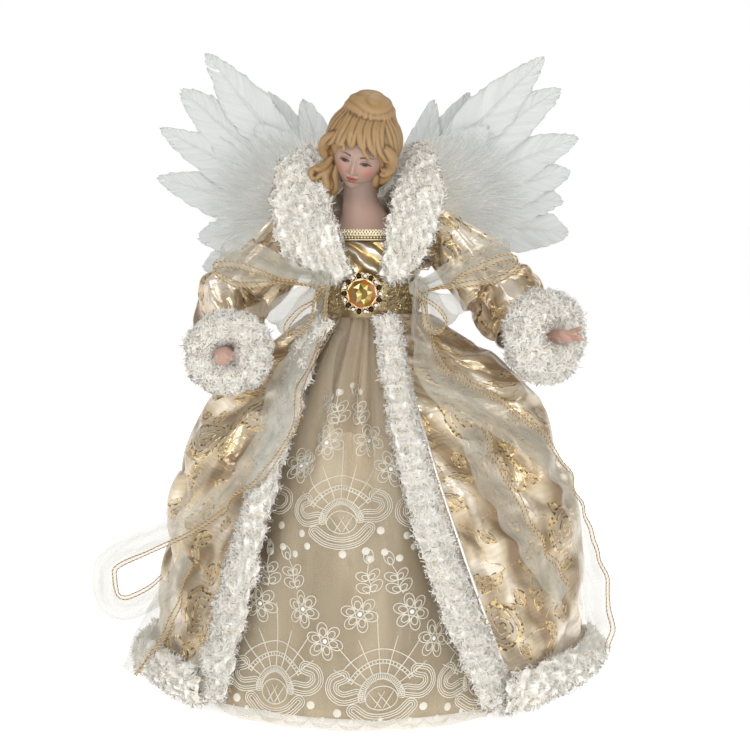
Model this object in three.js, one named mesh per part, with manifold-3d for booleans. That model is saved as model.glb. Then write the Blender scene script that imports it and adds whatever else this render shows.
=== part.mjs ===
// A dressed angel for a tree top: a doll on a hollow cone, with a fur-trimmed coat and feather wings.
import * as THREE from 'three';
import { mergeVertices } from 'three/addons/utils/BufferGeometryUtils.js';
import Module from 'manifold-3d';

const wasm = await Module();
wasm.setup();

// Driving dimensions, in millimetres and degrees. Left and right are the figure's own: left is +X,
// the figure faces -Y, and the cone's mouth stands on Z = 0.
const GAP = 0.4;
const SEAT_CLEARANCE = 1;
const CLOTH = 1.2;
const ORGANZA = 0.6;

// Support cone
const CONE_HEIGHT = 212;
const CONE_BASE_RADIUS = 104;
const CONE_TOP_RADIUS = 17;
const CONE_WALL = 1.6;

// Torso form, measured up from the cone's top
const TORSO_HEIGHT = 50;
const TORSO_PLUG_DEPTH = 12;
const WAIST_TOP = 14;
const CHEST_LEVEL = 30;
const SHOULDER_LEVEL = 43;
const WAIST_HALF_WIDTH = 25;
const WAIST_HALF_DEPTH = 20;
const CHEST_HALF_WIDTH = 29;
const CHEST_HALF_DEPTH = 22;
const SHOULDER_HALF_WIDTH = 27;
const SHOULDER_HALF_DEPTH = 19;
const NECK_SEAT_HALF_WIDTH = 20;
const NECK_SEAT_HALF_DEPTH = 16;

// Shoulder head
const PLATE_HALF_WIDTH = 24;
const PLATE_HALF_DEPTH = 17;
const PLATE_FORWARD = 4;
const NECK_RADIUS = 8.5;
const NECK_LENGTH = 27;
const FACE_HALF_WIDTH = 15.5;
const FACE_HALF_DEPTH = 18;
const FACE_HALF_HEIGHT = 22;
const HAIR_HALF_WIDTH = 21;
const HAIR_HALF_DEPTH = 20;
const HAIR_HALF_HEIGHT = 21;
const HEAD_TILT = 15;
const HEAD_NOD = 20;
const HEAD_TURN = -12;
const HEAD_OFFSET = -4;
const HEAD_FORWARD = 8;
const NOSE_HALF_SIZE = [2.2, 4, 4.6];
const CHIN_HALF_SIZE = [5.5, 5, 4.4];
const JAW_TAPER = 0.3;
const CURL_COUNT = 3;
const CURL_RADIUS = 5.7;

// Bodice, braid and belt
const BODICE_START = 5;
const BODICE_TOP = 46;
const NECKLINE_ANGLE = 52;
const LAPEL_POINT_ANGLE = 12;
const BRAID_HALF_HEIGHT = 3;
const BRAID_HALF_DEPTH = 1.4;
const BELT_START = 5.4;
const BELT_WIDTH = 17;
const BELT_THICKNESS = 2.4;

// Brooch on the belt
const BROOCH_RADIUS = 12;
const BROOCH_DEPTH = 8;
const BROOCH_OFFSET = -3.4;
const BROOCH_RAISE = 2;
const BROOCH_RIM = 1;
const BROOCH_TAPER = 2;
const GEM_RADIUS = 8.4;
const GEM_DEPTH = 6;
const STONE_RADIUS = 1.5;
const STONE_RAIL = 1.2;
const STONE_COUNT = 18;

// Underskirt and the organza panel over it
const UNDERSKIRT_DROP = 2;
const UNDERSKIRT_HEM_FLARE = 8;
const UNDERSKIRT_HEM_RADIUS = CONE_BASE_RADIUS + UNDERSKIRT_HEM_FLARE;
const UNDERSKIRT_HEM_HEIGHT = 1.5;
const UNDERSKIRT_BULGE = 4;
const UNDERSKIRT_FOLD = 2.5;
const UNDERSKIRT_FOLDS = 8;
const PANEL_RIGHT_ANGLE = 56;
const PANEL_LEFT_ANGLE = 48;
const PANEL_FOLD = 2.6;
const PANEL_FOLDS = 6;
const PANEL_FLARE = 12;
const PANEL_HEM_HEIGHT = 1;
const PANEL_HEM_RISE = 9;

// Coat skirt: drops are measured down from its waist seam
const COAT_SEAM = 4;
const COAT_HEM_HEIGHT = 15;
const COAT_HEM_FLARE = 12;
const COAT_HEM_RADIUS = UNDERSKIRT_HEM_RADIUS + COAT_HEM_FLARE;
const COAT_HIP_DROP = 34;
const COAT_HIP_INSET = 41;
const COAT_HIP_RADIUS = COAT_HEM_RADIUS - COAT_HIP_INSET;
const COAT_BELL_DROP = 82;
const COAT_BELL_INSET = 14;
const COAT_BELL_RADIUS = COAT_HEM_RADIUS - COAT_BELL_INSET;
const COAT_KNEE_DROP = 135;
const COAT_KNEE_INSET = 3;
const COAT_KNEE_RADIUS = COAT_HEM_RADIUS - COAT_KNEE_INSET;
const COAT_FRONT_BULGE = 14;
const COAT_FRONT_SPREAD = 46;
const COAT_FOLD = 4.5;
const COAT_FOLDS = 9;
// The share of the drop where the folds have their full depth, and where the right trim hangs straight
const COAT_FOLD_FULL = 0.35;
const RIGHT_TRIM_TURN = 0.13;
const RIGHT_TRIM_WAIST_ANGLE = 22;
const RIGHT_TRIM_HEM_ANGLE = 42;
const LEFT_TRIM_WAIST_ANGLE = 14;
const LEFT_TRIM_HEM_ANGLE = 33;

// Fur
const TRIM_WAIST_WIDTH = 17;
const TRIM_HEM_WIDTH = 27;
const TRIM_THICKNESS = 10;
const TRIM_START = 12;
const TRIM_END_THICKNESS = 6;
const HEM_TRIM_HEIGHT = 26;
const HEM_TRIM_BOTTOM = 2.5;
const HEM_TRIM_THICKNESS = 11;
const COLLAR_HALF_WIDTH = 21;
const COLLAR_THICKNESS = 13;
// Shawl collar from the nape round to each point. Each station is the middle line's place from the torso's
// top in shares of the torso's height, the direction from the inner to the outer edge, and the share of
// the full width.
const COLLAR_NAPE = { at: [0, 0.42, 0.64], edge: [0, 0.25, 0.97], width: 0.85 };
const COLLAR_RIGHT = [
  { at: [-0.5, 0.28, 0.76], edge: [-0.55, 0.2, 0.8], width: 0.85 },
  { at: [-0.72, -0.1, 0.7], edge: [-0.86, -0.05, 0.5], width: 0.82 },
  { at: [-0.77, -0.36, 0.4], edge: [-0.98, -0.02, 0.17], width: 0.92 },
  { at: [-0.71, -0.54, 0.06], edge: [-0.99, 0.05, -0.06], width: 0.97 },
  { at: [-0.6, -0.63, -0.26], edge: [-0.97, 0.08, -0.2], width: 0.88 },
  { at: [-0.4, -0.64, -0.44], edge: [-0.9, 0.05, -0.4], width: 0.55 },
  { at: [-0.26, -0.62, -0.53], edge: [-0.8, 0, -0.6], width: 0.3 },
];
const COLLAR_LEFT = [
  { at: [0.44, 0.28, 0.78], edge: [0.55, 0.2, 0.8], width: 0.8 },
  { at: [0.58, -0.08, 0.76], edge: [0.84, 0, 0.52], width: 0.68 },
  { at: [0.58, -0.36, 0.4], edge: [0.99, -0.02, 0.08], width: 0.8 },
  { at: [0.5, -0.54, 0.06], edge: [0.99, 0.05, -0.03], width: 0.77 },
  { at: [0.42, -0.63, -0.24], edge: [0.98, 0.08, -0.15], width: 0.68 },
  { at: [0.3, -0.64, -0.43], edge: [0.9, 0.05, -0.4], width: 0.45 },
  { at: [0.2, -0.62, -0.53], edge: [0.8, 0, -0.6], width: 0.28 },
];

// Ribbon bows
const RIBBON_WIDTH = 22;
const KNOT_RADIUS = 4.5;
const RIGHT_KNOT_OFFSET = -26;
const LEFT_KNOT_OFFSET = 29;
const KNOT_HEIGHT = 21;
const KNOT_STANDOFF = 2;
const LOOP_START = 0.6;
const LOOP_REACH = 60;
// A loop's far end in shares of the loops' reach, and its depth in shares of the ribbon's width
const RIGHT_LOOPS = [
  { label: 'upper', reach: new THREE.Vector3(-0.97, 0.1, 0.28), depth: 0.18 },
  { label: 'lower', reach: new THREE.Vector3(-0.37, -0.08, -0.4), depth: 0.14 },
];
const LEFT_LOOPS = [
  { label: 'upper', reach: new THREE.Vector3(0.92, 0.2, 0.4), depth: 0.18 },
  { label: 'lower', reach: new THREE.Vector3(0.33, -0.08, -0.33), depth: 0.14 },
];
// A tail further than this from the coat, in shares of the ribbon's width, turns to the front
const FREE_STANDOFF = 0.9;
const TAIL_FACE_LIFT = 0.25;
// How far a strip is drawn in near a place along it, both as shares of its length
const pinch = (share, place, spread) => Math.exp(-(((share - place) / spread) ** 2));
// A tail starts below its knot, in shares of the knot's radius. Each station is its angle from the front,
// its height in shares of the cone's and its standoff from the coat in shares of the ribbon's width.
const RIGHT_TAILS = [
  {
    label: 'tail',
    from: new THREE.Vector3(0.22, 0.44, -1.22),
    stations: [
      [-37, 0.967, 0.7], [-38, 0.849, 0.77], [-36, 0.708, 0.82], [-51, 0.566, 0.64], [-66, 0.458, 0.64],
      [-70, 0.41, 1.55], [-71, 0.34, 2.18], [-70, 0.259, 2.18], [-66, 0.212, 1.64], [-62, 0.245, 1.23],
    ],
    width: (share) => 0.4 + 0.55 * Math.min(1, 4 * share) * (1 - 0.45 * pinch(share, 0.55, 0.1)),
  },
  {
    label: 'end',
    stations: [[-62, 0.255, 1.14], [-61.5, 0.208, 0.91], [-63, 0.151, 1], [-64.5, 0.094, 1.32]],
    width: () => 0.75,
  },
];
const LEFT_TAILS = [
  {
    label: 'tail',
    from: new THREE.Vector3(-0.22, 0.44, -1.22),
    stations: [
      [36, 0.967, 0.68], [33, 0.849, 0.6], [52, 0.755, 0.36], [66, 0.613, 0.45], [70, 0.363, 0.68],
      [71, 0.212, 0.82], [69, 0.113, 0.82],
    ],
    width: (share) => 0.4 + 0.6 * Math.min(1, 4 * share),
  },
  {
    label: 'end',
    stations: [[43, 0.731, 0.32], [43, 0.637, 0.36], [48, 0.509, 0.41], [55, 0.377, 0.43], [62, 0.274, 0.5]],
    width: () => 0.7,
  },
];

// Arms, measured from the shoulder pivot
const SHOULDER_RADIUS = 15.5;
const SHOULDER_CLEARANCE = 0.4;
const PIVOT_HEIGHT = 46;
const SLEEVE_ELBOW_RADIUS = 19.5;
const SLEEVE_WRIST_RADIUS = 12;
const SLEEVE_GIRTH_SHARES = [0, 0.5, 0.78, 1];
const SHOULDER_CAP_ANGLES = [46, 61, 76];
const ARM_LENGTH = 80;
const RIGHT_ELBOW = new THREE.Vector3(-0.425, -0.1, -0.45).multiplyScalar(ARM_LENGTH);
const RIGHT_WRIST = new THREE.Vector3(-0.375, -0.6, -0.7625).multiplyScalar(ARM_LENGTH);
const RIGHT_REACH = new THREE.Vector3(-0.08, -0.99, 0.02);
const LEFT_ELBOW = new THREE.Vector3(0.4125, -0.1, -0.375).multiplyScalar(ARM_LENGTH);
const LEFT_WRIST = new THREE.Vector3(0.48125, -0.425, -0.6875).multiplyScalar(ARM_LENGTH);
const LEFT_REACH = new THREE.Vector3(0.64, -0.76, 0.07);
const CUFF_LENGTH = 27;
const RIGHT_CUFF_RADIUS = 24.5;
const LEFT_CUFF_RADIUS = 27;
const ARM_WIRE_RADIUS = 1.4;
const WRIST_RADIUS = 3.8;
const PALM_LENGTH = 8;
// Finger bones from the palm, in shares of its length: across it, towards its back and along it
const FIST = [
  { bone: [[-0.375, -0.125, 0.75], [-0.35, -0.525, 0.425]], radius: 0.212 },
  { bone: [[-0.05, -0.125, 0.875], [-0.05, -0.575, 0.475]], radius: 0.225 },
  { bone: [[0.275, -0.125, 0.8], [0.25, -0.55, 0.425]], radius: 0.212 },
  { bone: [[0.5, 0, 0.25], [0.575, -0.325, 0.75]], radius: 0.212 },
];
const OPEN_HAND = [
  { bone: [[-0.325, 0, 0.5], [-0.425, -0.075, 1.5]], radius: 0.188 },
  { bone: [[-0.025, 0, 0.625], [-0.075, -0.1, 1.688]], radius: 0.2 },
  { bone: [[0.275, 0, 0.562], [0.25, -0.1, 1.562]], radius: 0.188 },
  { bone: [[0.062, 0.325, 0.125], [0.175, 0.775, 1.062]], radius: 0.2 },
];

// Wings, measured from the hinge line at the back
const WING_PLATE_HALF_WIDTH = 16;
const WING_PLATE_HEIGHT = 30;
const WING_PLATE_BOTTOM = 36;
const WING_PLATE_THICKNESS = 2;
const WING_HINGE_SPREAD = 12;
const WING_ROOT_HEIGHT = 58;
const HINGE_WIRE_RADIUS = 0.9;
const HINGE_WIRE_REACH = 9;
const EYELET_RADIUS = 2.2;
const EYELET_LENGTH = 3;
const EYELET_SPREAD = 5;
const WING_CARD_LENGTH = 30;
const WING_CARD_HEIGHT = 34;
const WING_CARD_THICKNESS = 1.6;
const FEATHER_THICKNESS = 0.8;
const FEATHER_HALF_WIDTH = 13.5;
const FEATHER_QUILL = 16;
const FEATHER_CAMBER = 0.6;
const FEATHER_BOW = 4;
const COVERT_SHARE = 0.6;
const COVERT_DROP = 4;
const COVERED_FLIGHTS = [0, 2, 4];
const DOWN_HALF_LENGTH = 33;
const DOWN_HALF_HEIGHT = 25;
const DOWN_HALF_DEPTH = 4.5;
const DOWN_START = 4;
const DOWN_RAISE = 12;
const WING_LENGTH = 130;
// Flight feathers from the top one down: angle above the horizontal and share of the wing's length
const RIGHT_FLIGHTS = [[52, 0.985], [40.5, 0.938], [28, 0.915], [13.5, 0.846], [-8, 0.662], [-20, 0.677]];
const LEFT_FLIGHTS = [[49, 1.008], [40, 0.954], [25, 0.9], [16, 0.815], [6.5, 0.762], [-5, 0.785]];

// Facets
const CONE_SIDES = 40;
const SKIRT_SIDES = 40;
const SKIRT_ROWS = 5;
const COAT_COLUMNS = 54;
const COAT_ROWS = 8;
const PANEL_COLUMNS = 24;
const PANEL_ROWS = 6;
const TRIM_STEPS = 14;
const TRIM_SIDES = 7;
const TUBE_SIDES = 12;
const TORSO_SIDES = 24;
const BODICE_COLUMNS = 10;
const COAT_BODICE_COLUMNS = 24;
const BRAID_STEPS = 14;
const BRAID_SIDES = 8;
const BELT_SIDES = 28;
const BELT_ROWS = 2;
const CUP_SIDES = 24;
const GEM_SIDES = 16;
const COLLAR_STEPS = 26;
const LOOP_STEPS = 14;
const TAIL_STEPS = 4;
const SLEEVE_STEPS = 9;
const CUFF_SIDES = 18;
const CUFF_STEPS = 9;
const FEATHER_STEPS = 8;
const WIRE_STEPS = 3;
const WIRE_ARC_STEPS = 3;
const PIN_SIDES = 12;
const FINGER_SIDES = 5;
const FINGER_CAP_STEPS = 2;
const CARD_ARC_STEPS = 6;
const LARGE_FORM = [16, 12];
const MIDDLE_FORM = [12, 8];
const SMALL_FORM = [8, 6];

const WELD_TOLERANCE = 1e-4;
const DEGREE = Math.PI / 180;
const UP = new THREE.Vector3(0, 0, 1);
const vec = (x, y, z) => new THREE.Vector3(x, y, z);
const { lerp, smoothstep } = THREE.MathUtils;

// A point by its angle from the front towards the left, its radius and its height.
const polar = (angle, radius, z) => vec(radius * Math.sin(angle), -radius * Math.cos(angle), z);

// Welds shared corners, drops collapsed triangles and turns the faces outward.
function weld(geometry) {
  const bare = new THREE.BufferGeometry();
  bare.setAttribute('position', geometry.getAttribute('position').clone());
  bare.setIndex(geometry.index);
  const merged = mergeVertices(bare, WELD_TOLERANCE);
  const corners = merged.index.array;
  const p = merged.getAttribute('position');
  const faces = [];
  let volume = 0;
  const [a, b, c] = [vec(), vec(), vec()];
  for (let i = 0; i < corners.length; i += 3) {
    const [u, v, w] = [corners[i], corners[i + 1], corners[i + 2]];
    if (u === v || v === w || w === u) continue;
    faces.push(u, v, w);
    a.fromBufferAttribute(p, u);
    b.fromBufferAttribute(p, v);
    c.fromBufferAttribute(p, w);
    volume += a.dot(b.cross(c));
  }
  merged.setIndex(volume < 0 ? faces.reverse() : faces);
  merged.computeVertexNormals();
  return merged;
}

function body(points, faces) {
  const geometry = new THREE.BufferGeometry();
  geometry.setFromPoints(points);
  geometry.setIndex(faces);
  return weld(geometry);
}

// Quads between two rows of corners, each row given by its first index, around a closed ring.
function band(faces, low, high, count) {
  for (let k = 0; k < count; k += 1) {
    const next = (k + 1) % count;
    faces.push(low + k, low + next, high + next, low + k, high + next, high + k);
  }
}

// Closed body from a stack of rings, with a fan over each end.
function loft(rings) {
  const count = rings[0].length;
  const points = rings.flat();
  const faces = [];
  for (let r = 0; r + 1 < rings.length; r += 1) band(faces, r * count, (r + 1) * count, count);
  for (const r of [0, rings.length - 1]) {
    const hub = rings[r].reduce((sum, p) => sum.add(p), vec(0, 0, 0)).divideScalar(count);
    points.push(hub);
    for (let k = 0; k < count; k += 1) {
      const [first, second] = [r * count + k, r * count + ((k + 1) % count)];
      if (r === 0) faces.push(points.length - 1, second, first);
      else faces.push(points.length - 1, first, second);
    }
  }
  return body(points, faces);
}

// Tube wall between outer and inner rings, open at both ends.
function tubeWall(outer, inner) {
  const count = outer[0].length;
  const loop = [...outer, ...inner.slice().reverse()];
  const faces = [];
  for (let r = 0; r < loop.length; r += 1) band(faces, r * count, ((r + 1) % loop.length) * count, count);
  return body(loop.flat(), faces);
}

// Thin sheet: a grid of points, thickened along its own normals and closed at its edges.
function sheet(grid, thickness) {
  const [rows, columns] = [grid.length, grid[0].length];
  const at = (i, j) => grid[Math.min(Math.max(i, 0), rows - 1)][Math.min(Math.max(j, 0), columns - 1)];
  const front = [];
  const back = [];
  for (let i = 0; i < rows; i += 1) {
    for (let j = 0; j < columns; j += 1) {
      const down = at(i + 1, j).clone().sub(at(i - 1, j));
      const across = at(i, j + 1).clone().sub(at(i, j - 1));
      const offset = down.cross(across).setLength(thickness / 2);
      front.push(at(i, j).clone().add(offset));
      back.push(at(i, j).clone().sub(offset));
    }
  }
  const far = front.length;
  const faces = [];
  const quad = (a, b, c, d) => faces.push(a, b, c, a, c, d);
  for (let i = 0; i + 1 < rows; i += 1) {
    for (let j = 0; j + 1 < columns; j += 1) {
      const [a, b] = [i * columns + j, i * columns + j + 1];
      quad(a, a + columns, b + columns, b);
      quad(far + a, far + b, far + b + columns, far + a + columns);
    }
  }
  const rim = [];
  for (let j = 0; j + 1 < columns; j += 1) rim.push(j);
  for (let i = 0; i + 1 < rows; i += 1) rim.push(i * columns + columns - 1);
  for (let j = columns - 1; j > 0; j -= 1) rim.push((rows - 1) * columns + j);
  for (let i = rows - 1; i > 0; i -= 1) rim.push(i * columns);
  rim.forEach((a, k) => {
    const b = rim[(k + 1) % rim.length];
    quad(a, b, far + b, far + a);
  });
  return body([...front, ...back], faces);
}

const steps = (count) => Array.from({ length: count + 1 }, (_, k) => k / count);

function revolve(profile, sides) {
  const geometry = new THREE.LatheGeometry(profile.map(([r, z]) => new THREE.Vector2(r, z)), sides);
  geometry.rotateX(Math.PI / 2);
  return weld(geometry);
}

function ellipsoid([halfWidth, halfDepth, halfHeight], [sides, rows]) {
  const geometry = new THREE.SphereGeometry(1, sides, rows);
  geometry.rotateX(Math.PI / 2);
  geometry.scale(halfWidth, halfDepth, halfHeight);
  return weld(geometry);
}

// A rod along Z about its own middle
function rod(radius, length) {
  return weld(new THREE.CylinderGeometry(radius, radius, length, PIN_SIDES).rotateX(Math.PI / 2));
}

function wire(points, radius) {
  const curve = new THREE.CatmullRomCurve3(points);
  const section = new THREE.Shape().absarc(0, 0, radius, 0, 2 * Math.PI);
  return weld(new THREE.ExtrudeGeometry(section, {
    extrudePath: curve, steps: WIRE_STEPS * points.length, curveSegments: WIRE_ARC_STEPS, bevelEnabled: false,
  }));
}

// Solids to join and cut
function solid(geometry) {
  const welded = weld(geometry);
  const vertProperties = new Float32Array(welded.getAttribute('position').array);
  const triVerts = new Uint32Array(welded.index.array);
  return new wasm.Manifold(new wasm.Mesh({ numProp: 3, vertProperties, triVerts }));
}

function meshOf(joined) {
  const { vertProperties, triVerts } = joined.getMesh();
  const geometry = new THREE.BufferGeometry();
  geometry.setAttribute('position', new THREE.BufferAttribute(new Float32Array(vertProperties), 3));
  geometry.setIndex(Array.from(triVerts));
  return weld(geometry);
}

function join(pieces) {
  return meshOf(pieces.map(solid).reduce((sum, piece) => sum.add(piece)));
}

function cut(geometry, tools) {
  return meshOf(tools.map(solid).reduce((left, tool) => left.subtract(tool), solid(geometry)));
}

// A copy swollen along its normals, to cut a seat with clearance.
function swollen(geometry, amount) {
  const copy = weld(geometry);
  const [p, n] = [copy.getAttribute('position'), copy.getAttribute('normal')];
  for (let k = 0; k < p.array.length; k += 1) p.array[k] += amount * n.array[k];
  return copy;
}

function moved(geometry, x, y, z) {
  return geometry.clone().translate(x, y, z);
}

// Places around a circle or an oval, with the first one in front
const turns = (count) => steps(count).slice(0, -1).map((share) => 2 * Math.PI * share);

// Finishes
function finish(color, roughness, metalness = 0) {
  return new THREE.MeshStandardMaterial({ color, roughness, metalness });
}

const CARD = finish(0xd8c9a8, 0.9);
const SKIN = finish(0xd9a58c, 0.55);
const LAME = finish(0xc9a866, 0.35, 0.5);
const BROCADE = finish(0xc8a987, 0.35, 0.4);
const SATIN = finish(0xd2b48c, 0.45);
const SHEER = finish(0xd9bd92, 0.6);
const FUR = finish(0xeee9df, 0.95);
const GOLD = finish(0xb8924e, 0.3, 0.8);
const AMBER = finish(0xb07a1c, 0.1);
const CRYSTAL = finish(0xdadada, 0.1, 0.4);
const RIBBON = finish(0xece6da, 0.6);
const DOWN = finish(0xf4f3ef, 0.9);
const STEEL = finish(0x8d8d8d, 0.4, 0.9);

function mesh(name, geometry, material) {
  const piece = new THREE.Mesh(geometry, material);
  piece.name = name;
  return piece;
}

// Torso: height above the cone's top, half width and half depth.
const TORSO_STATIONS = [
  [0, WAIST_HALF_WIDTH, WAIST_HALF_DEPTH],
  [WAIST_TOP, WAIST_HALF_WIDTH, WAIST_HALF_DEPTH],
  [CHEST_LEVEL, CHEST_HALF_WIDTH, CHEST_HALF_DEPTH],
  [SHOULDER_LEVEL, SHOULDER_HALF_WIDTH, SHOULDER_HALF_DEPTH],
  [TORSO_HEIGHT, NECK_SEAT_HALF_WIDTH, NECK_SEAT_HALF_DEPTH],
];

function torsoSection(z) {
  const level = Math.min(Math.max(z, 0), TORSO_HEIGHT);
  const upper = Math.max(TORSO_STATIONS.findIndex(([height]) => height >= level), 1);
  const [low, high] = [TORSO_STATIONS[upper - 1], TORSO_STATIONS[upper]];
  const share = (level - low[0]) / (high[0] - low[0]);
  return [lerp(low[1], high[1], share), lerp(low[2], high[2], share)];
}

function torsoRadius(angle, z) {
  const [width, depth] = torsoSection(z);
  return 1 / Math.hypot(Math.sin(angle) / width, Math.cos(angle) / depth);
}

function oval(halfWidth, halfDepth, z) {
  return turns(TORSO_SIDES).map((angle) => vec(halfWidth * Math.sin(angle), -halfDepth * Math.cos(angle), z));
}

function supportCone() {
  const inner = [CONE_BASE_RADIUS - CONE_WALL, CONE_TOP_RADIUS - CONE_WALL];
  const profile = [
    [inner[0], 0],
    [CONE_BASE_RADIUS, 0],
    [CONE_TOP_RADIUS, CONE_HEIGHT],
    [inner[1], CONE_HEIGHT],
    [inner[0], 0],
  ];
  return revolve(profile, CONE_SIDES);
}

function torsoForm() {
  const plug = CONE_TOP_RADIUS - CONE_WALL - 3 * GAP;
  const rings = [oval(plug, plug, -TORSO_PLUG_DEPTH), oval(plug, plug, GAP)];
  rings.push(oval(WAIST_HALF_WIDTH, WAIST_HALF_DEPTH, GAP));
  for (const [height, width, depth] of TORSO_STATIONS.slice(1)) rings.push(oval(width, depth, height));
  return loft(rings);
}

// A cloth panel on the torso between two angles that change with height.
function torsoPanel(from, to, columns) {
  const bends = TORSO_STATIONS.map(([height]) => height);
  const heights = [BODICE_START, ...bends.filter((z) => z > BODICE_START && z < BODICE_TOP), BODICE_TOP];
  const grid = heights.map((z) => {
    const share = (z - BODICE_START) / (BODICE_TOP - BODICE_START);
    return steps(columns).map((across) => {
      const angle = lerp(from(share), to(share), across);
      return polar(angle, torsoRadius(angle, z) + 3 * GAP + CLOTH / 2, z);
    });
  });
  return sheet(grid, CLOTH);
}

const lapelAngle = (share) => lerp(LAPEL_POINT_ANGLE, NECKLINE_ANGLE, share) * DEGREE;

function bodicePanel() {
  const seam = 2 * GAP / CHEST_HALF_DEPTH;
  return torsoPanel((share) => seam - lapelAngle(share), (share) => lapelAngle(share) - seam, BODICE_COLUMNS);
}

function coatBodice() {
  return torsoPanel(lapelAngle, (share) => 2 * Math.PI - lapelAngle(share), COAT_BODICE_COLUMNS);
}

function necklineBraid() {
  const z = BODICE_TOP + GAP + BRAID_HALF_HEIGHT;
  const reach = NECKLINE_ANGLE * DEGREE;
  const standoff = 2 * GAP + BRAID_HALF_DEPTH;
  const [width, depth] = [PLATE_HALF_WIDTH + standoff, PLATE_HALF_DEPTH + standoff];
  const rings = steps(BRAID_STEPS).map((share) => {
    const angle = lerp(-reach, reach, share);
    const out = polar(angle, 1, 0);
    const centre = vec(width * Math.sin(angle), -PLATE_FORWARD - depth * Math.cos(angle), z);
    return turns(BRAID_SIDES).map((turn) => centre.clone()
      .addScaledVector(out, BRAID_HALF_DEPTH * Math.cos(turn))
      .addScaledVector(UP, BRAID_HALF_HEIGHT * Math.sin(turn)));
  });
  return loft(rings);
}

const BELT_INSET = 5 * GAP + CLOTH;

function waistBelt() {
  const ring = (standoff, z) => turns(BELT_SIDES).map((angle) => (
    polar(angle, torsoRadius(angle, z) + BELT_INSET + standoff, z)
  ));
  const heights = steps(BELT_ROWS).map((share) => BELT_START + BELT_WIDTH * share);
  return tubeWall(heights.map((z) => ring(BELT_THICKNESS, z)), heights.map((z) => ring(0, z)));
}

// Shoulder head: shoulder plate, neck, face and moulded hair in one casting.
const NECK_BASE = TORSO_HEIGHT + GAP;
const HEAD_CENTRE = NECK_BASE + NECK_LENGTH + FACE_HALF_HEIGHT;

// The plate's rings: height as a share of the neck, half width, half depth and step forward.
const PLATE_RINGS = [
  [0, PLATE_HALF_WIDTH, PLATE_HALF_DEPTH, PLATE_FORWARD],
  [0.16, PLATE_HALF_WIDTH * 0.92, PLATE_HALF_DEPTH * 0.94, PLATE_FORWARD],
  [0.36, PLATE_HALF_WIDTH * 0.62, PLATE_HALF_DEPTH * 0.74, PLATE_FORWARD],
  [0.6, NECK_RADIUS * 1.1, NECK_RADIUS * 1.1, PLATE_FORWARD / 2],
  [1, NECK_RADIUS, NECK_RADIUS, PLATE_FORWARD / 2],
];

function shoulderPlate() {
  const ring = ([share, width, depth, forward]) => (
    oval(width, depth, NECK_BASE + NECK_LENGTH * share).map((p) => p.setY(p.y - forward))
  );
  const chinCover = ring(PLATE_RINGS.at(-1)).map((p) => p.setZ(p.z + FACE_HALF_HEIGHT / 2));
  return loft([...PLATE_RINGS.map(ring), chinCover]);
}

// Moulded hair: each form's half sizes as shares of the hair's, and its middle as shares of the face's.
const HAIR_FORMS = [
  { half: [1.04, 0.96, 1.1], at: [0, 0.33, 0.28], facets: LARGE_FORM },
  { half: [0.8, 0.5, 0.4], at: [0, -0.55, 0.72], facets: MIDDLE_FORM },
  { half: [0.82, 0.79, 0.62], at: [-0.06, 0.25, 1.02], facets: MIDDLE_FORM },
  { half: [0.26, 0.55, 0.62], at: [-1, -0.06, 0.05], facets: SMALL_FORM },
  { half: [0.26, 0.55, 0.62], at: [1, -0.06, 0.05], facets: SMALL_FORM },
];

function headForms() {
  const faceAt = ([x, y, z]) => [x * FACE_HALF_WIDTH, y * FACE_HALF_DEPTH, z * FACE_HALF_HEIGHT];
  const form = (half, at, facets) => moved(ellipsoid(half, facets), ...faceAt(at));
  const face = ellipsoid([FACE_HALF_WIDTH, FACE_HALF_DEPTH, FACE_HALF_HEIGHT], LARGE_FORM);
  const p = face.getAttribute('position');
  for (let k = 0; k < p.count; k += 1) {
    const lower = Math.max(-p.getZ(k) / FACE_HALF_HEIGHT, 0);
    p.setX(k, p.getX(k) * (1 - JAW_TAPER * lower * lower));
  }
  const nose = form(NOSE_HALF_SIZE, [0, -0.97, -0.2], SMALL_FORM);
  const chin = form(CHIN_HALF_SIZE, [0, -0.6, -0.8], SMALL_FORM);
  const hair = HAIR_FORMS.map(({ half, at, facets }) => form(
    [HAIR_HALF_WIDTH * half[0], HAIR_HALF_DEPTH * half[1], HAIR_HALF_HEIGHT * half[2]], at, facets,
  ));
  const curlHalf = [CURL_RADIUS, CURL_RADIUS, CURL_RADIUS * 1.3];
  const curls = steps(CURL_COUNT - 1).map((share) => (
    form(curlHalf, [lerp(-1.13, -0.82, share), -0.11, lerp(-0.35, -1.03, share)], SMALL_FORM)
  ));
  return [face, nose, chin, ...hair, ...curls];
}

function shoulderHead() {
  const bow = new THREE.Euler(HEAD_NOD * DEGREE, HEAD_TILT * DEGREE, HEAD_TURN * DEGREE, 'ZXY');
  const place = new THREE.Matrix4().makeRotationFromEuler(bow);
  place.setPosition(HEAD_OFFSET, -HEAD_FORWARD, HEAD_CENTRE);
  return join([shoulderPlate(), ...headForms().map((form) => form.applyMatrix4(place))]);
}

// Skirts. A drop of 0 is the waist and 1 the hem.
const UNDERSKIRT_TOP = CONE_HEIGHT - UNDERSKIRT_DROP;

function underskirtRadius(drop) {
  const top = CONE_TOP_RADIUS + 2 * GAP + CLOTH;
  return lerp(top, UNDERSKIRT_HEM_RADIUS, drop) + UNDERSKIRT_BULGE * Math.sin(Math.PI * drop);
}

function underskirt() {
  const ring = (drop, standoff) => turns(SKIRT_SIDES).map((angle) => {
    const fold = UNDERSKIRT_FOLD * drop * Math.cos(UNDERSKIRT_FOLDS * angle);
    const height = lerp(UNDERSKIRT_TOP, UNDERSKIRT_HEM_HEIGHT, drop);
    return polar(angle, underskirtRadius(drop) + fold + standoff, height);
  });
  const drops = steps(SKIRT_ROWS);
  return tubeWall(drops.map((drop) => ring(drop, CLOTH / 2)), drops.map((drop) => ring(drop, -CLOTH / 2)));
}

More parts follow.
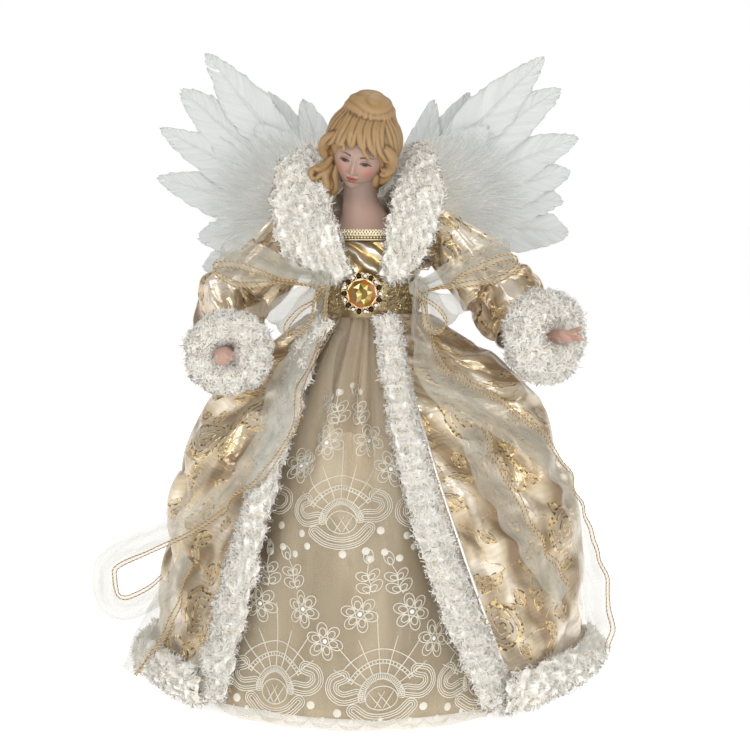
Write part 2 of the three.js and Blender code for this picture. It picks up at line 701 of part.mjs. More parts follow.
const SEAM_HEIGHT = CONE_HEIGHT + COAT_SEAM;

function panelRadius(angle, drop, share) {
  const lining = underskirtRadius(drop) + UNDERSKIRT_FOLD * drop + CLOTH / 2;
  const overLining = lining + PANEL_FOLD * drop + GAP + ORGANZA;
  const middle = Math.sin(Math.PI * share);
  const flare = PANEL_FLARE * drop * drop * middle * middle;
  const fold = PANEL_FOLD * drop * Math.cos(2 * Math.PI * PANEL_FOLDS * share);
  return Math.max(torsoRadius(angle, 0) + GAP + ORGANZA, overLining + flare + fold);
}

function laceSkirtFront() {
  const drops = [0, 0.022, ...steps(PANEL_ROWS).slice(1)];
  const grid = drops.map((drop) => steps(PANEL_COLUMNS).map((share) => {
    const angle = lerp(-PANEL_RIGHT_ANGLE, PANEL_LEFT_ANGLE, share) * DEGREE;
    const edge = 2 * share - 1;
    const z = lerp(SEAM_HEIGHT, PANEL_HEM_HEIGHT + PANEL_HEM_RISE * edge * edge, drop);
    return polar(angle, panelRadius(angle, drop, share), z);
  }));
  return sheet(grid, ORGANZA);
}

const COAT_DROP = SEAM_HEIGHT - COAT_HEM_HEIGHT;
const coatWaist = (angle) => torsoRadius(angle, 0) + 2 * GAP + ORGANZA + CLOTH;
const coatSide = new THREE.CubicInterpolant(
  [0, COAT_HIP_DROP, COAT_BELL_DROP, COAT_KNEE_DROP, COAT_DROP],
  [WAIST_HALF_WIDTH, COAT_HIP_RADIUS, COAT_BELL_RADIUS, COAT_KNEE_RADIUS, COAT_HEM_RADIUS],
  1,
);

const trimHalfWidth = (drop) => lerp(TRIM_WAIST_WIDTH, TRIM_HEM_WIDTH, Math.min(drop, 1)) / 2;

function coatFrontRadius(angle, drop) {
  const bulge = COAT_FRONT_BULGE * Math.sin(Math.PI * Math.sqrt(Math.min(drop, 1)));
  return lerp(coatWaist(angle), COAT_HEM_RADIUS, drop) + bulge;
}

// Middle of the front trims: the right one is at a negative angle.
function trimAngle(side, drop) {
  const angle = side < 0
    ? lerp(RIGHT_TRIM_WAIST_ANGLE, RIGHT_TRIM_HEM_ANGLE, Math.sqrt(Math.min(drop / RIGHT_TRIM_TURN, 1)))
    : lerp(LEFT_TRIM_WAIST_ANGLE, LEFT_TRIM_HEM_ANGLE, drop ** 1.6);
  return side * angle * DEGREE;
}

const trimSpread = (angle, drop) => trimHalfWidth(drop) / coatFrontRadius(angle, drop);

// Coat surface: flat under the front trims, a full bell with folds at the sides and back.
function coatRadius(angle, drop) {
  const side = angle > Math.PI || angle < 0 ? -1 : 1;
  const turn = side < 0 && angle > 0 ? 2 * Math.PI - angle : Math.abs(angle);
  const edge = Math.abs(trimAngle(side, drop));
  const beyond = turn - edge - 1.2 * trimSpread(edge, drop);
  const fullness = smoothstep(beyond, 0, COAT_FRONT_SPREAD * DEGREE);
  const seamOval = (coatWaist(angle) - WAIST_HALF_WIDTH) * (1 - drop) ** 8;
  const bell = coatSide.evaluate(drop * COAT_DROP)[0] + seamOval;
  const depth = COAT_FOLD * smoothstep(drop, 0, COAT_FOLD_FULL);
  const fold = depth * (Math.cos(COAT_FOLDS * angle) + 0.4 * Math.sin(2 * COAT_FOLDS * angle));
  return lerp(coatFrontRadius(angle, drop), bell + fold, fullness);
}

const coatHeight = (drop) => lerp(SEAM_HEIGHT, COAT_HEM_HEIGHT, drop);

function coatPoint(angle, drop, standoff = 0) {
  return polar(angle, coatRadius(angle, drop) + standoff, coatHeight(drop));
}

function coatSkirt() {
  const grid = steps(COAT_ROWS).map((drop) => {
    const inward = (side) => 0.7 * trimSpread(trimAngle(side, drop), drop);
    const from = trimAngle(1, drop) - inward(1);
    const to = 2 * Math.PI + trimAngle(-1, drop) + inward(-1);
    return steps(COAT_COLUMNS).map((share) => coatPoint(lerp(from, to, share), drop));
  });
  return sheet(grid, CLOTH);
}

// A fur roll with a flat back: each station has a place, an outward normal and a direction across.
function furRoll(stations) {
  const ring = ({ at, out, across, halfWidth, thickness }) => steps(TRIM_SIDES).map((share) => at.clone()
    .addScaledVector(across, halfWidth * Math.cos(Math.PI * share))
    .addScaledVector(out, thickness * Math.sin(Math.PI * share)));
  return loft(stations.map(ring));
}

// A front trim; grown all round, it is the tool that seats the hem trim against it.
function frontTrim(side, grow = 0) {
  const standoff = CLOTH / 2 + 2 * GAP - 2 * grow;
  const cornerDrop = 0.22 * TRIM_HEM_WIDTH;
  const bottom = 1 + (COAT_HEM_HEIGHT - HEM_TRIM_BOTTOM - cornerDrop) / COAT_DROP;
  const place = (drop) => coatPoint(trimAngle(side, drop), drop, standoff);
  return furRoll(steps(TRIM_STEPS).map((share) => {
    const drop = lerp(TRIM_START / COAT_DROP, bottom + grow / COAT_DROP, share);
    const run = place(drop + 0.01).sub(place(drop - 0.01)).normalize();
    const round = vec(Math.cos(trimAngle(side, drop)), Math.sin(trimAngle(side, drop)), 0);
    const out = round.clone().cross(run).normalize().negate();
    const across = run.clone().cross(out).normalize();
    const thickness = (share === 0 || share === 1 ? TRIM_END_THICKNESS : TRIM_THICKNESS) + 3 * grow;
    return { at: place(drop), out, across, halfWidth: trimHalfWidth(drop) + grow, thickness };
  }));
}

function hemTrim() {
  const middle = HEM_TRIM_BOTTOM + HEM_TRIM_HEIGHT / 2;
  const top = 1 - (HEM_TRIM_BOTTOM + HEM_TRIM_HEIGHT - COAT_HEM_HEIGHT) / COAT_DROP;
  const from = trimAngle(1, 1);
  const to = 2 * Math.PI + trimAngle(-1, 1);
  const section = { across: UP, halfWidth: HEM_TRIM_HEIGHT / 2, thickness: HEM_TRIM_THICKNESS };
  const roll = furRoll(steps(COAT_COLUMNS).map((share) => {
    const angle = lerp(from, to, share);
    const radius = Math.max(coatRadius(angle, 1), coatRadius(angle, top)) + CLOTH / 2 + 6 * GAP;
    return { ...section, at: polar(angle, radius, middle), out: polar(angle, 1, 0) };
  }));
  return cut(roll, [-1, 1].map((side) => frontTrim(side, 3 * GAP)));
}

// The shawl collar, in the torso's frame, cut to sit on what it covers
function furCollar(tools) {
  const table = [...COLLAR_RIGHT].reverse().concat(COLLAR_NAPE, COLLAR_LEFT);
  const stations = table.map(({ at, edge, width }) => ({
    at: vec(...at).multiplyScalar(TORSO_HEIGHT).add(vec(0, 0, TORSO_HEIGHT)),
    across: vec(...edge),
    width: vec(width, 0, 0),
  }));
  const [line, edge, wide] = ['at', 'across', 'width'].map((key) => (
    new THREE.CatmullRomCurve3(stations.map((station) => station[key]))
  ));
  const rings = steps(COLLAR_STEPS).map((share) => {
    const across = edge.getPoint(share).normalize();
    const out = line.getTangent(share).cross(across).normalize();
    const level = wide.getPoint(share).x;
    const halfThickness = COLLAR_THICKNESS / 2 * Math.min(1, 0.4 + 0.7 * level);
    return turns(TUBE_SIDES).map((turn) => line.getPoint(share)
      .addScaledVector(across, COLLAR_HALF_WIDTH * level * Math.cos(turn))
      .addScaledVector(out, halfThickness * Math.sin(turn)));
  });
  return cut(loft(rings), tools);
}

// Brooch, in a frame whose +Z points out of the belt.
function broochCup() {
  const seat = BROOCH_DEPTH / 2;
  const foot = BROOCH_RADIUS - BROOCH_TAPER;
  const lip = BROOCH_RADIUS - BROOCH_RIM;
  return revolve([[0, 0], [foot, 0], [BROOCH_RADIUS, seat], [lip, seat], [0, seat]], CUP_SIDES);
}

function broochGem() {
  const girdle = GEM_DEPTH * 0.35;
  const table = GEM_RADIUS * 0.55;
  const foot = GEM_RADIUS * 0.92;
  return revolve([[0, 0], [foot, 0], [GEM_RADIUS, girdle], [table, GEM_DEPTH], [0, GEM_DEPTH]], GEM_SIDES);
}

function broochStones() {
  const lane = (GEM_RADIUS + BROOCH_RADIUS) / 2 + GAP / 2;
  const half = (BROOCH_RADIUS - GEM_RADIUS) / 2 - GAP / 2;
  const [near, far] = [lane - half, lane + half];
  const rail = revolve([[near, 0], [far, 0], [far, STONE_RAIL], [near, STONE_RAIL], [near, 0]], STONE_COUNT);
  const stones = turns(STONE_COUNT).map((turn) => {
    const stone = new THREE.OctahedronGeometry(STONE_RADIUS).rotateZ(Math.PI / 4 + turn);
    return stone.translate(lane * Math.cos(turn), lane * Math.sin(turn), STONE_RADIUS);
  });
  return join([rail, ...stones]);
}

// Ribbons: a strip along a curve, facing the given outward direction at each point.
function ribbon(points, outward, widthAt, lengthSteps, closed = false) {
  const line = new THREE.CatmullRomCurve3(points, closed);
  const facing = new THREE.CatmullRomCurve3(outward, closed);
  const grid = steps(lengthSteps).map((share) => {
    const run = line.getTangent(share);
    const across = run.cross(facing.getPoint(share)).normalize();
    const half = RIBBON_WIDTH / 2 * widthAt(share);
    return [-1, 0, 1].map((k) => line.getPoint(share).addScaledVector(across, k * half));
  });
  return sheet(grid, ORGANZA);
}

const KNOT_FORWARD = CHEST_HALF_DEPTH + COLLAR_THICKNESS + CLOTH + KNOT_RADIUS + KNOT_STANDOFF;
const knotPlace = (offset) => vec(offset, -KNOT_FORWARD, CONE_HEIGHT + KNOT_HEIGHT);

function bowKnot() {
  return ellipsoid([KNOT_RADIUS * 1.2, KNOT_RADIUS * 0.8, KNOT_RADIUS], MIDDLE_FORM);
}

// A bow loop: out from the knot in front, round its far end and back behind.
function bowLoop(start, reach, depthShare) {
  const out = reach.clone().multiplyScalar(LOOP_REACH);
  const far = start.clone().add(out);
  const depth = RIBBON_WIDTH * depthShare;
  const near = start.clone().addScaledVector(out.clone().normalize(), 1.2 * KNOT_RADIUS + LOOP_START);
  const shift = (point, y) => point.clone().add(vec(0, y, 0));
  const along = (share) => start.clone().addScaledVector(out, share);
  const points = [
    shift(near, -1), shift(along(0.45), -depth * 0.8), shift(along(0.85), -depth * 0.7),
    far, shift(along(0.85), depth * 0.7), shift(along(0.45), depth * 0.8), shift(near, 1),
  ];
  const front = vec(0, -1, 0);
  const outward = [front, front, front, out.clone().normalize(), vec(0, 1, 0), vec(0, 1, 0), vec(0, 1, 0)];
  return ribbon(points, outward, (share) => 0.2 + 0.75 * Math.sin(Math.PI * share) ** 0.7, LOOP_STEPS);
}

// A tail that hangs over the coat and faces away from it, or to the front where it hangs free
function ribbonTail(start, stations, widthAt) {
  const place = ([angle, level, standoff]) => {
    const height = CONE_HEIGHT * level;
    const drop = Math.min(Math.max((SEAM_HEIGHT - height) / COAT_DROP, 0), 1);
    const turn = angle * DEGREE;
    return polar(turn, coatRadius(turn, drop) + RIBBON_WIDTH * standoff, height);
  };
  const faces = stations.map(([angle, , standoff]) => {
    const free = smoothstep(standoff, FREE_STANDOFF, 2 * FREE_STANDOFF);
    return polar(angle * DEGREE, 1, TAIL_FACE_LIFT).lerp(vec(0, -1, TAIL_FACE_LIFT), free).normalize();
  });
  const points = stations.map(place);
  if (start) {
    points.unshift(start);
    faces.unshift(vec(0, -1, 0));
  }
  return ribbon(points, faces, widthAt, TAIL_STEPS * stations.length);
}

// Arms: a sleeve that starts as a rounded shoulder about its pivot and follows the bent wire.
const PIVOT_SPREAD = SHOULDER_HALF_WIDTH + 3 * GAP + CLOTH + SHOULDER_RADIUS + SHOULDER_CLEARANCE;

function armLine(elbow, wrist) {
  const upper = vec(elbow.x * 0.55, elbow.y * 0.3, elbow.z * 0.38);
  return new THREE.CatmullRomCurve3([vec(0, 0, 0), upper, elbow, elbow.clone().lerp(wrist, 0.5), wrist]);
}

function sleeve(line) {
  const frames = line.computeFrenetFrames(SLEEVE_STEPS);
  const radii = [SHOULDER_RADIUS, SLEEVE_ELBOW_RADIUS, SLEEVE_ELBOW_RADIUS * 0.9, SLEEVE_WRIST_RADIUS];
  const girth = new THREE.CubicInterpolant(SLEEVE_GIRTH_SHARES, radii, 1);
  const ring = (centre, k, radius) => turns(TUBE_SIDES).map((turn) => centre.clone()
    .addScaledVector(frames.normals[k], radius * Math.cos(turn))
    .addScaledVector(frames.binormals[k], radius * Math.sin(turn)));
  const rings = (inset) => {
    const cap = SHOULDER_CAP_ANGLES.map((degrees) => {
      const radius = SHOULDER_RADIUS - inset;
      const back = -radius * Math.cos(degrees * DEGREE);
      const centre = line.getPoint(0).addScaledVector(frames.tangents[0], back);
      return ring(centre, 0, radius * Math.sin(degrees * DEGREE));
    });
    const run = steps(SLEEVE_STEPS).map((share, k) => (
      ring(line.getPointAt(share), k, girth.evaluate(share)[0] - inset)
    ));
    return [...cap, ...run];
  };
  return tubeWall(rings(0), rings(CLOTH));
}

// The bent wire, from the armhole through the sleeve to the hand
function armWire(line, side, hand) {
  const armhole = vec(-side * SHOULDER_RADIUS, 0, 0);
  const run = [0.2, 0.5, 0.8].map((share) => line.getPointAt(share));
  return wire([armhole, ...run, hand], ARM_WIRE_RADIUS);
}

// Cuff and hands, in a frame whose +Z runs out along the forearm from the wrist.
function furCuff(radius) {
  const bore = WRIST_RADIUS + GAP;
  const middle = CUFF_LENGTH / 2;
  const profile = steps(CUFF_STEPS).map((share) => {
    const turn = 2 * Math.PI * share;
    const ring = (bore + radius) / 2 + (radius - bore) / 2 * Math.cos(turn);
    return [ring, GAP + middle + middle * Math.sin(turn)];
  });
  return revolve(profile, CUFF_SIDES);
}

function finger([start, end], girth) {
  const [from, to] = [start, end].map((place) => vec(...place).multiplyScalar(PALM_LENGTH));
  const run = to.clone().sub(from).normalize();
  const length = from.distanceTo(to);
  const bone = new THREE.CapsuleGeometry(PALM_LENGTH * girth, length, FINGER_CAP_STEPS, FINGER_SIDES);
  bone.applyQuaternion(new THREE.Quaternion().setFromUnitVectors(vec(0, 1, 0), run));
  const middle = from.lerp(to, 0.5);
  return bone.translate(middle.x, middle.y, middle.z);
}

function handOf(fingers) {
  const palmBase = CUFF_LENGTH + 1;
  const wrist = revolve([[0, GAP], [WRIST_RADIUS, GAP], [WRIST_RADIUS, palmBase], [0, palmBase]], TUBE_SIDES);
  const palmHalf = [PALM_LENGTH * 0.62, PALM_LENGTH * 0.42, PALM_LENGTH * 0.75];
  const palm = moved(ellipsoid(palmHalf, MIDDLE_FORM), 0, 0, palmBase + PALM_LENGTH / 4);
  const bones = fingers.map(({ bone, radius }) => moved(finger(bone, radius), 0, 0, palmBase));
  return join([wrist, palm, ...bones]);
}

function arm(name, { side, elbow, wrist, reach, cuffRadius, fingers }) {
  const group = new THREE.Group();
  group.position.set(side * PIVOT_SPREAD, 0, CONE_HEIGHT + PIVOT_HEIGHT);
  const line = armLine(elbow, wrist);
  group.add(mesh(`${name}_sleeve`, sleeve(line), BROCADE));
  const forearm = new THREE.Group();
  forearm.position.copy(wrist);
  forearm.quaternion.setFromUnitVectors(UP, reach.clone().normalize());
  const swing = line.getTangent(1).dot(reach.clone().normalize());
  const lift = SLEEVE_WRIST_RADIUS * Math.sqrt(Math.max(1 - swing * swing, 0)) + GAP;
  forearm.position.addScaledVector(reach.clone().normalize(), lift);
  const wireEnd = forearm.position.clone().addScaledVector(reach, -ARM_WIRE_RADIUS);
  group.add(mesh(`${name}_arm_wire`, armWire(line, side, wireEnd), STEEL));
  forearm.add(mesh(`${name}_fur_cuff`, furCuff(cuffRadius), FUR));
  forearm.add(mesh(`${name}_hand`, handOf(fingers), SKIN));
  group.add(forearm);
  return group;
}

// Wings, in a frame with the hinge line on Z: +X runs out along the wing, and rear says which way is back.
function featherBlade(length, rear) {
  const reach = length - FEATHER_QUILL;
  const grid = steps(FEATHER_STEPS).map((step) => {
    const share = Math.sin(Math.PI / 2 * step);
    const opening = Math.sin(Math.PI * Math.min(0.5, 0.1 + 0.6 * share));
    const halfWidth = FEATHER_HALF_WIDTH * opening * Math.sqrt(Math.max(1 - share ** 6, 0.02));
    return [-1, 0, 1].map((edge) => vec(
      FEATHER_QUILL + reach * share,
      rear * (FEATHER_CAMBER * (edge * edge - 1) + FEATHER_BOW * share * share),
      edge * halfWidth,
    ));
  });
  return sheet(grid, FEATHER_THICKNESS);
}

function wingCard() {
  const outline = new THREE.Shape();
  const half = WING_CARD_HEIGHT / 2;
  const root = -HINGE_WIRE_RADIUS - GAP;
  outline.moveTo(root, -half * 0.7);
  outline.quadraticCurveTo(WING_CARD_LENGTH, -half, WING_CARD_LENGTH, 0);
  outline.quadraticCurveTo(WING_CARD_LENGTH, half, root, half * 0.8);
  const card = new THREE.ExtrudeGeometry(outline, {
    depth: WING_CARD_THICKNESS, curveSegments: CARD_ARC_STEPS, bevelEnabled: false,
  });
  card.rotateX(Math.PI / 2);
  return weld(card.translate(0, WING_CARD_THICKNESS / 2, 0));
}

// A wire staple: its back is the hinge pin, and its two legs run back to the card.
function hingeWire(legLength, rear) {
  const leg = rod(HINGE_WIRE_RADIUS, legLength).rotateX(Math.PI / 2);
  const spread = HINGE_WIRE_REACH - HINGE_WIRE_RADIUS;
  const legs = [-1, 1].map((end) => moved(leg, 0, rear * legLength / 2, end * spread));
  return join([rod(HINGE_WIRE_RADIUS, 2 * HINGE_WIRE_REACH), ...legs]);
}

const PLATE_BACK = CHEST_HALF_DEPTH + 3 * GAP + CLOTH + WING_PLATE_THICKNESS;
const HINGE_BACK = PLATE_BACK + HINGE_WIRE_RADIUS + 2 * GAP;

function wing(name, side, flights) {
  const group = new THREE.Group();
  group.position.set(side * WING_HINGE_SPREAD, HINGE_BACK, CONE_HEIGHT + WING_ROOT_HEIGHT);
  if (side < 0) group.rotation.z = Math.PI;
  const rear = side < 0 ? -1 : 1;
  const place = (label, geometry, material, depth) => {
    const piece = mesh(`${name}_${label}`, geometry, material);
    piece.position.y = rear * depth;
    group.add(piece);
    return piece;
  };
  const blade = (label, angle, share, depth) => {
    const feather = featherBlade(WING_LENGTH * share, rear);
    place(label, feather, DOWN, depth).rotation.y = -angle * DEGREE;
  };
  const layer = FEATHER_THICKNESS + FEATHER_CAMBER + GAP;
  const firstCovert = 2 * DOWN_HALF_DEPTH + GAP + FEATHER_CAMBER + FEATHER_THICKNESS / 2;
  const cardFront = firstCovert + COVERED_FLIGHTS.length * layer - FEATHER_CAMBER;
  const firstFlight = cardFront + WING_CARD_THICKNESS + layer;
  const padHalf = [DOWN_HALF_LENGTH, DOWN_HALF_DEPTH, DOWN_HALF_HEIGHT];
  const pad = place('down', ellipsoid(padHalf, MIDDLE_FORM), DOWN, DOWN_HALF_DEPTH);
  pad.position.x = DOWN_HALF_LENGTH + DOWN_START;
  pad.position.z = DOWN_RAISE;
  place('hinge_wire', hingeWire(cardFront - GAP, rear), STEEL, 0);
  place('card', wingCard(), CARD, cardFront + WING_CARD_THICKNESS / 2);
  COVERED_FLIGHTS.forEach((k, row) => {
    const [angle, share] = flights[k];
    blade(`covert_${row + 1}`, angle - COVERT_DROP, share * COVERT_SHARE, firstCovert + row * layer);
  });
  flights.forEach(([angle, share], k) => blade(`flight_${k + 1}`, angle, share, firstFlight + k * layer));
  return group;
}

// The plate on the back, with two eyelets round each wing's hinge pin
function wingPlate() {
  const plate = new THREE.BoxGeometry(2 * WING_PLATE_HALF_WIDTH, WING_PLATE_THICKNESS, WING_PLATE_HEIGHT);
  plate.translate(0, PLATE_BACK - WING_PLATE_THICKNESS / 2, WING_PLATE_BOTTOM + WING_PLATE_HEIGHT / 2);
  const places = [-1, 1].flatMap((side) => [-1, 1].map((end) => [
    side * WING_HINGE_SPREAD, HINGE_BACK, WING_ROOT_HEIGHT + end * EYELET_SPREAD,
  ]));
  const eyelets = places.map((place) => moved(rod(EYELET_RADIUS, EYELET_LENGTH), ...place));
  const holes = places.map((place) => moved(rod(HINGE_WIRE_RADIUS + GAP, 2 * EYELET_LENGTH), ...place));
  return cut(join([plate, ...eyelets]), holes);
}

// Assembly
const angel = new THREE.Group();
angel.name = 'tree_top_angel';
angel.add(mesh('support_cone', supportCone(), CARD));
angel.add(mesh('underskirt', underskirt(), SATIN));
angel.add(mesh('lace_skirt_front', laceSkirtFront(), SHEER));
angel.add(mesh('coat_skirt', coatSkirt(), BROCADE));
angel.add(mesh('front_fur_trim_left', frontTrim(1), FUR));
angel.add(mesh('front_fur_trim_right', frontTrim(-1), FUR));
angel.add(mesh('hem_fur_trim', hemTrim(), FUR));

const upper = new THREE.Group();
upper.position.z = CONE_HEIGHT;
angel.add(upper);
upper.add(mesh('torso_form', torsoForm(), CARD));
upper.add(mesh('bodice_panel', bodicePanel(), LAME));
upper.add(mesh('coat_bodice', coatBodice(), BROCADE));
upper.add(mesh('neckline_braid', necklineBraid(), GOLD));
upper.add(mesh('waist_belt', waistBelt(), GOLD));
upper.add(mesh('wing_plate', wingPlate(), CARD));
const head = shoulderHead();
upper.add(mesh('shoulder_head', head, SKIN));

const brooch = new THREE.Group();
const broochHeight = BELT_START + BELT_WIDTH / 2 + BROOCH_RAISE;
const beltFront = torsoRadius(0, BELT_START + BELT_WIDTH) + BELT_INSET + BELT_THICKNESS;
brooch.position.set(BROOCH_OFFSET, -beltFront - GAP, broochHeight);
brooch.rotation.x = Math.PI / 2;
const gem = mesh('brooch_gem', broochGem(), AMBER);
const stones = mesh('brooch_stone_ring', broochStones(), CRYSTAL);
gem.position.z = BROOCH_DEPTH / 2 + GAP;
stones.position.z = BROOCH_DEPTH / 2 + GAP;
brooch.add(mesh('brooch_cup', broochCup(), GOLD), gem, stones);
upper.add(brooch);

const seatRadius = SHOULDER_RADIUS + SEAT_CLEARANCE;
const shoulderBall = ellipsoid([seatRadius, seatRadius, seatRadius], LARGE_FORM);
const shoulderSeat = (side) => moved(shoulderBall, side * PIVOT_SPREAD, 0, PIVOT_HEIGHT);
const knotSeat = (offset) => swollen(moved(bowKnot(), offset, -KNOT_FORWARD, KNOT_HEIGHT), SEAT_CLEARANCE);
const broochSeat = rod(BROOCH_RADIUS + SEAT_CLEARANCE, 6 * BROOCH_DEPTH).rotateX(Math.PI / 2);
const collar = furCollar([
  swollen(head, 2 * GAP),
  swollen(torsoForm(), 4 * GAP + CLOTH),
  moved(broochSeat, BROOCH_OFFSET, -beltFront, broochHeight),
  swollen(necklineBraid(), GAP),
  ...[RIGHT_KNOT_OFFSET, LEFT_KNOT_OFFSET].map(knotSeat),
  ...[-1, 1].map(shoulderSeat),
]);
upper.add(mesh('fur_collar', collar, FUR));

const bows = [
  { name: 'right', offset: RIGHT_KNOT_OFFSET, loops: RIGHT_LOOPS, tails: RIGHT_TAILS },
  { name: 'left', offset: LEFT_KNOT_OFFSET, loops: LEFT_LOOPS, tails: LEFT_TAILS },
];
for (const { name, offset, loops, tails } of bows) {
  const place = knotPlace(offset);
  angel.add(mesh(`${name}_bow_knot`, moved(bowKnot(), place.x, place.y, place.z), RIBBON));
  for (const { label, reach, depth } of loops) {
    angel.add(mesh(`${name}_bow_loop_${label}`, bowLoop(place, reach, depth), RIBBON));
  }
  for (const { label, from, stations, width } of tails) {
    const start = from ? place.clone().addScaledVector(from, KNOT_RADIUS) : null;
    angel.add(mesh(`${name}_ribbon_${label}`, ribbonTail(start, stations, width), RIBBON));
  }
}

angel.add(arm('right', {
  side: -1,
  elbow: RIGHT_ELBOW,
  wrist: RIGHT_WRIST,
  reach: RIGHT_REACH,
  cuffRadius: RIGHT_CUFF_RADIUS,
  fingers: FIST,
}));
angel.add(arm('left', {
  side: 1,
  elbow: LEFT_ELBOW,
  wrist: LEFT_WRIST,
  reach: LEFT_REACH,
  cuffRadius: LEFT_CUFF_RADIUS,
  fingers: OPEN_HAND,
}));
angel.add(wing('right_wing', -1, RIGHT_FLIGHTS));
angel.add(wing('left_wing', 1, LEFT_FLIGHTS));

export default angel;
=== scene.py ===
"""A dressed tree-top angel: fur, feathers, brocade, lace and ribbons over the frame's solids.

Lengths are millimetres until a mesh is made. Left and right are the figure's own, left is +X, and angles
run from the front towards the left.
"""

import math

import bpy
import numpy as np
from mathutils import Matrix, Vector
from mathutils.bvhtree import BVHTree


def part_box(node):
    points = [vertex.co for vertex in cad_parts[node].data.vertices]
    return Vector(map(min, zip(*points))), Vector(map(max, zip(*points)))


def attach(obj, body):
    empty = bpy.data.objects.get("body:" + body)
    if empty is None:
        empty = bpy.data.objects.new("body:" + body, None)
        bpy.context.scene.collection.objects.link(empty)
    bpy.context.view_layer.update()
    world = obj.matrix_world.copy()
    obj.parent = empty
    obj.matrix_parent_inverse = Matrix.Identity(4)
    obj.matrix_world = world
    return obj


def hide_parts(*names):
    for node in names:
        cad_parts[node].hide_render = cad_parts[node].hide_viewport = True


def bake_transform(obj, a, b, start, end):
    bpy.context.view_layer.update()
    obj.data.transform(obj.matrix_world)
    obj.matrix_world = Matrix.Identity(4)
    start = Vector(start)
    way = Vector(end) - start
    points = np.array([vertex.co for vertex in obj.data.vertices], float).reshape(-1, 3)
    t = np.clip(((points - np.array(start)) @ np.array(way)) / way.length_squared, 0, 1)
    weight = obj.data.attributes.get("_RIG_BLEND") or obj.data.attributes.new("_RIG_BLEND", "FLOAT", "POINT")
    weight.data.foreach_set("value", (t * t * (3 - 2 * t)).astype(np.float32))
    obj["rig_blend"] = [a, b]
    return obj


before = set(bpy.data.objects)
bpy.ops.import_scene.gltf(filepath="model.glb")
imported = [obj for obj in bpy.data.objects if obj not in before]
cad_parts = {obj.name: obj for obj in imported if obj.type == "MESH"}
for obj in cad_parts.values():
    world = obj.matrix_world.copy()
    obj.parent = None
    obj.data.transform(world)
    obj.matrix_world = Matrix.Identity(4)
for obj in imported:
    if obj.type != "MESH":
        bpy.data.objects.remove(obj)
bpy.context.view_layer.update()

MM = 0.001
TURN = 2 * math.pi
RAY_REACH = 0.25
SIDES = {"right": -1, "left": 1}

# Camera
CAMERA_TARGET = Vector((0.004, 0, 0.178))
CAMERA_DISTANCE = 1.0
CAMERA_PITCH = math.radians(5.5)
CAMERA_LENS = 80.8
SENSOR = 36

# Colours, linear
WHITE = (0.93, 0.92, 0.90)
IVORY = (0.70, 0.66, 0.56)
GOLD = (0.78, 0.52, 0.20)
DARK_GOLD = (0.24, 0.14, 0.05)
CHAMPAGNE = (0.565, 0.465, 0.312)
SKIN = (0.39, 0.258, 0.203)
HAIR = (0.325, 0.20, 0.085)
HAIR_SHADE = (0.085, 0.042, 0.013)


def unit(v):
    return v / np.maximum(np.linalg.norm(v, axis=-1, keepdims=True), 1e-9)


def lerp(a, b, t):
    return a + (b - a) * t


def ease(t):
    t = np.clip(t, 0, 1)
    return t * t * (3 - 2 * t)


def bell(value, centre, spread):
    return np.exp(-(((value - centre) / spread) ** 2))


def polar(angle, radius, z):
    """Points by angle from the front, radius and height."""
    angle, radius, z = np.broadcast_arrays(angle, radius, z)
    return np.stack([radius * np.sin(angle), -radius * np.cos(angle), z], axis=-1)


def wobble(points, wavelength, seed, waves=10):
    """Smooth random vectors, from a few sine waves that cross the points."""
    rng = np.random.default_rng(seed)
    out = np.zeros(points.shape[:-1] + (3,))
    for _ in range(waves):
        heading = unit(rng.normal(size=points.shape[-1]))
        pace = TURN / (wavelength * rng.uniform(0.7, 1.5))
        phase = rng.uniform(0, TURN)
        out += np.sin(points @ heading * pace + phase)[..., None] * rng.normal(size=3)
    return out / math.sqrt(waves)


def soften(values, times, axis, closed=False):
    """Evens out an array along one axis."""
    values = np.moveaxis(np.array(values, float), axis, 0)
    for _ in range(times):
        if closed:
            ahead, behind = np.roll(values, -1, 0), np.roll(values, 1, 0)
        else:
            ahead = np.concatenate([values[1:], values[-1:]])
            behind = np.concatenate([values[:1], values[:-1]])
        values = (ahead + behind + 2 * values) / 4
    return np.moveaxis(values, 0, axis)


def smooth_path(stations, count):
    """A Catmull-Rom curve through the stations."""
    p = np.array(stations, float)
    p = np.concatenate([2 * p[:1] - p[1:2], p, 2 * p[-1:] - p[-2:-1]])
    place = np.linspace(0, len(p) - 3 - 1e-6, count)
    i = place.astype(int)
    t = (place - i)[:, None]
    a, b, c, d = p[i], p[i + 1], p[i + 2], p[i + 3]
    return 0.5 * (2 * b + (c - a) * t + (2 * a - 5 * b + 4 * c - d) * t**2 + (3 * b - a - 3 * c + d) * t**3)


def distances(points, axis=0):
    """Distance gone along a line of points, or along each line of a grid."""
    steps = np.linalg.norm(np.diff(points, axis=axis), axis=-1)
    start = np.zeros_like(np.take(steps, [0], axis))
    return np.concatenate([start, np.cumsum(steps, axis)], axis)


def even_path(path, count):
    """The same path with points at even distances."""
    gone = distances(path)
    want = np.linspace(0, gone[-1], count)
    return np.stack([np.interp(want, gone, path[:, k]) for k in range(path.shape[1])], axis=1)


def path_length(path):
    return float(np.linalg.norm(np.diff(path, axis=0), axis=1).sum())


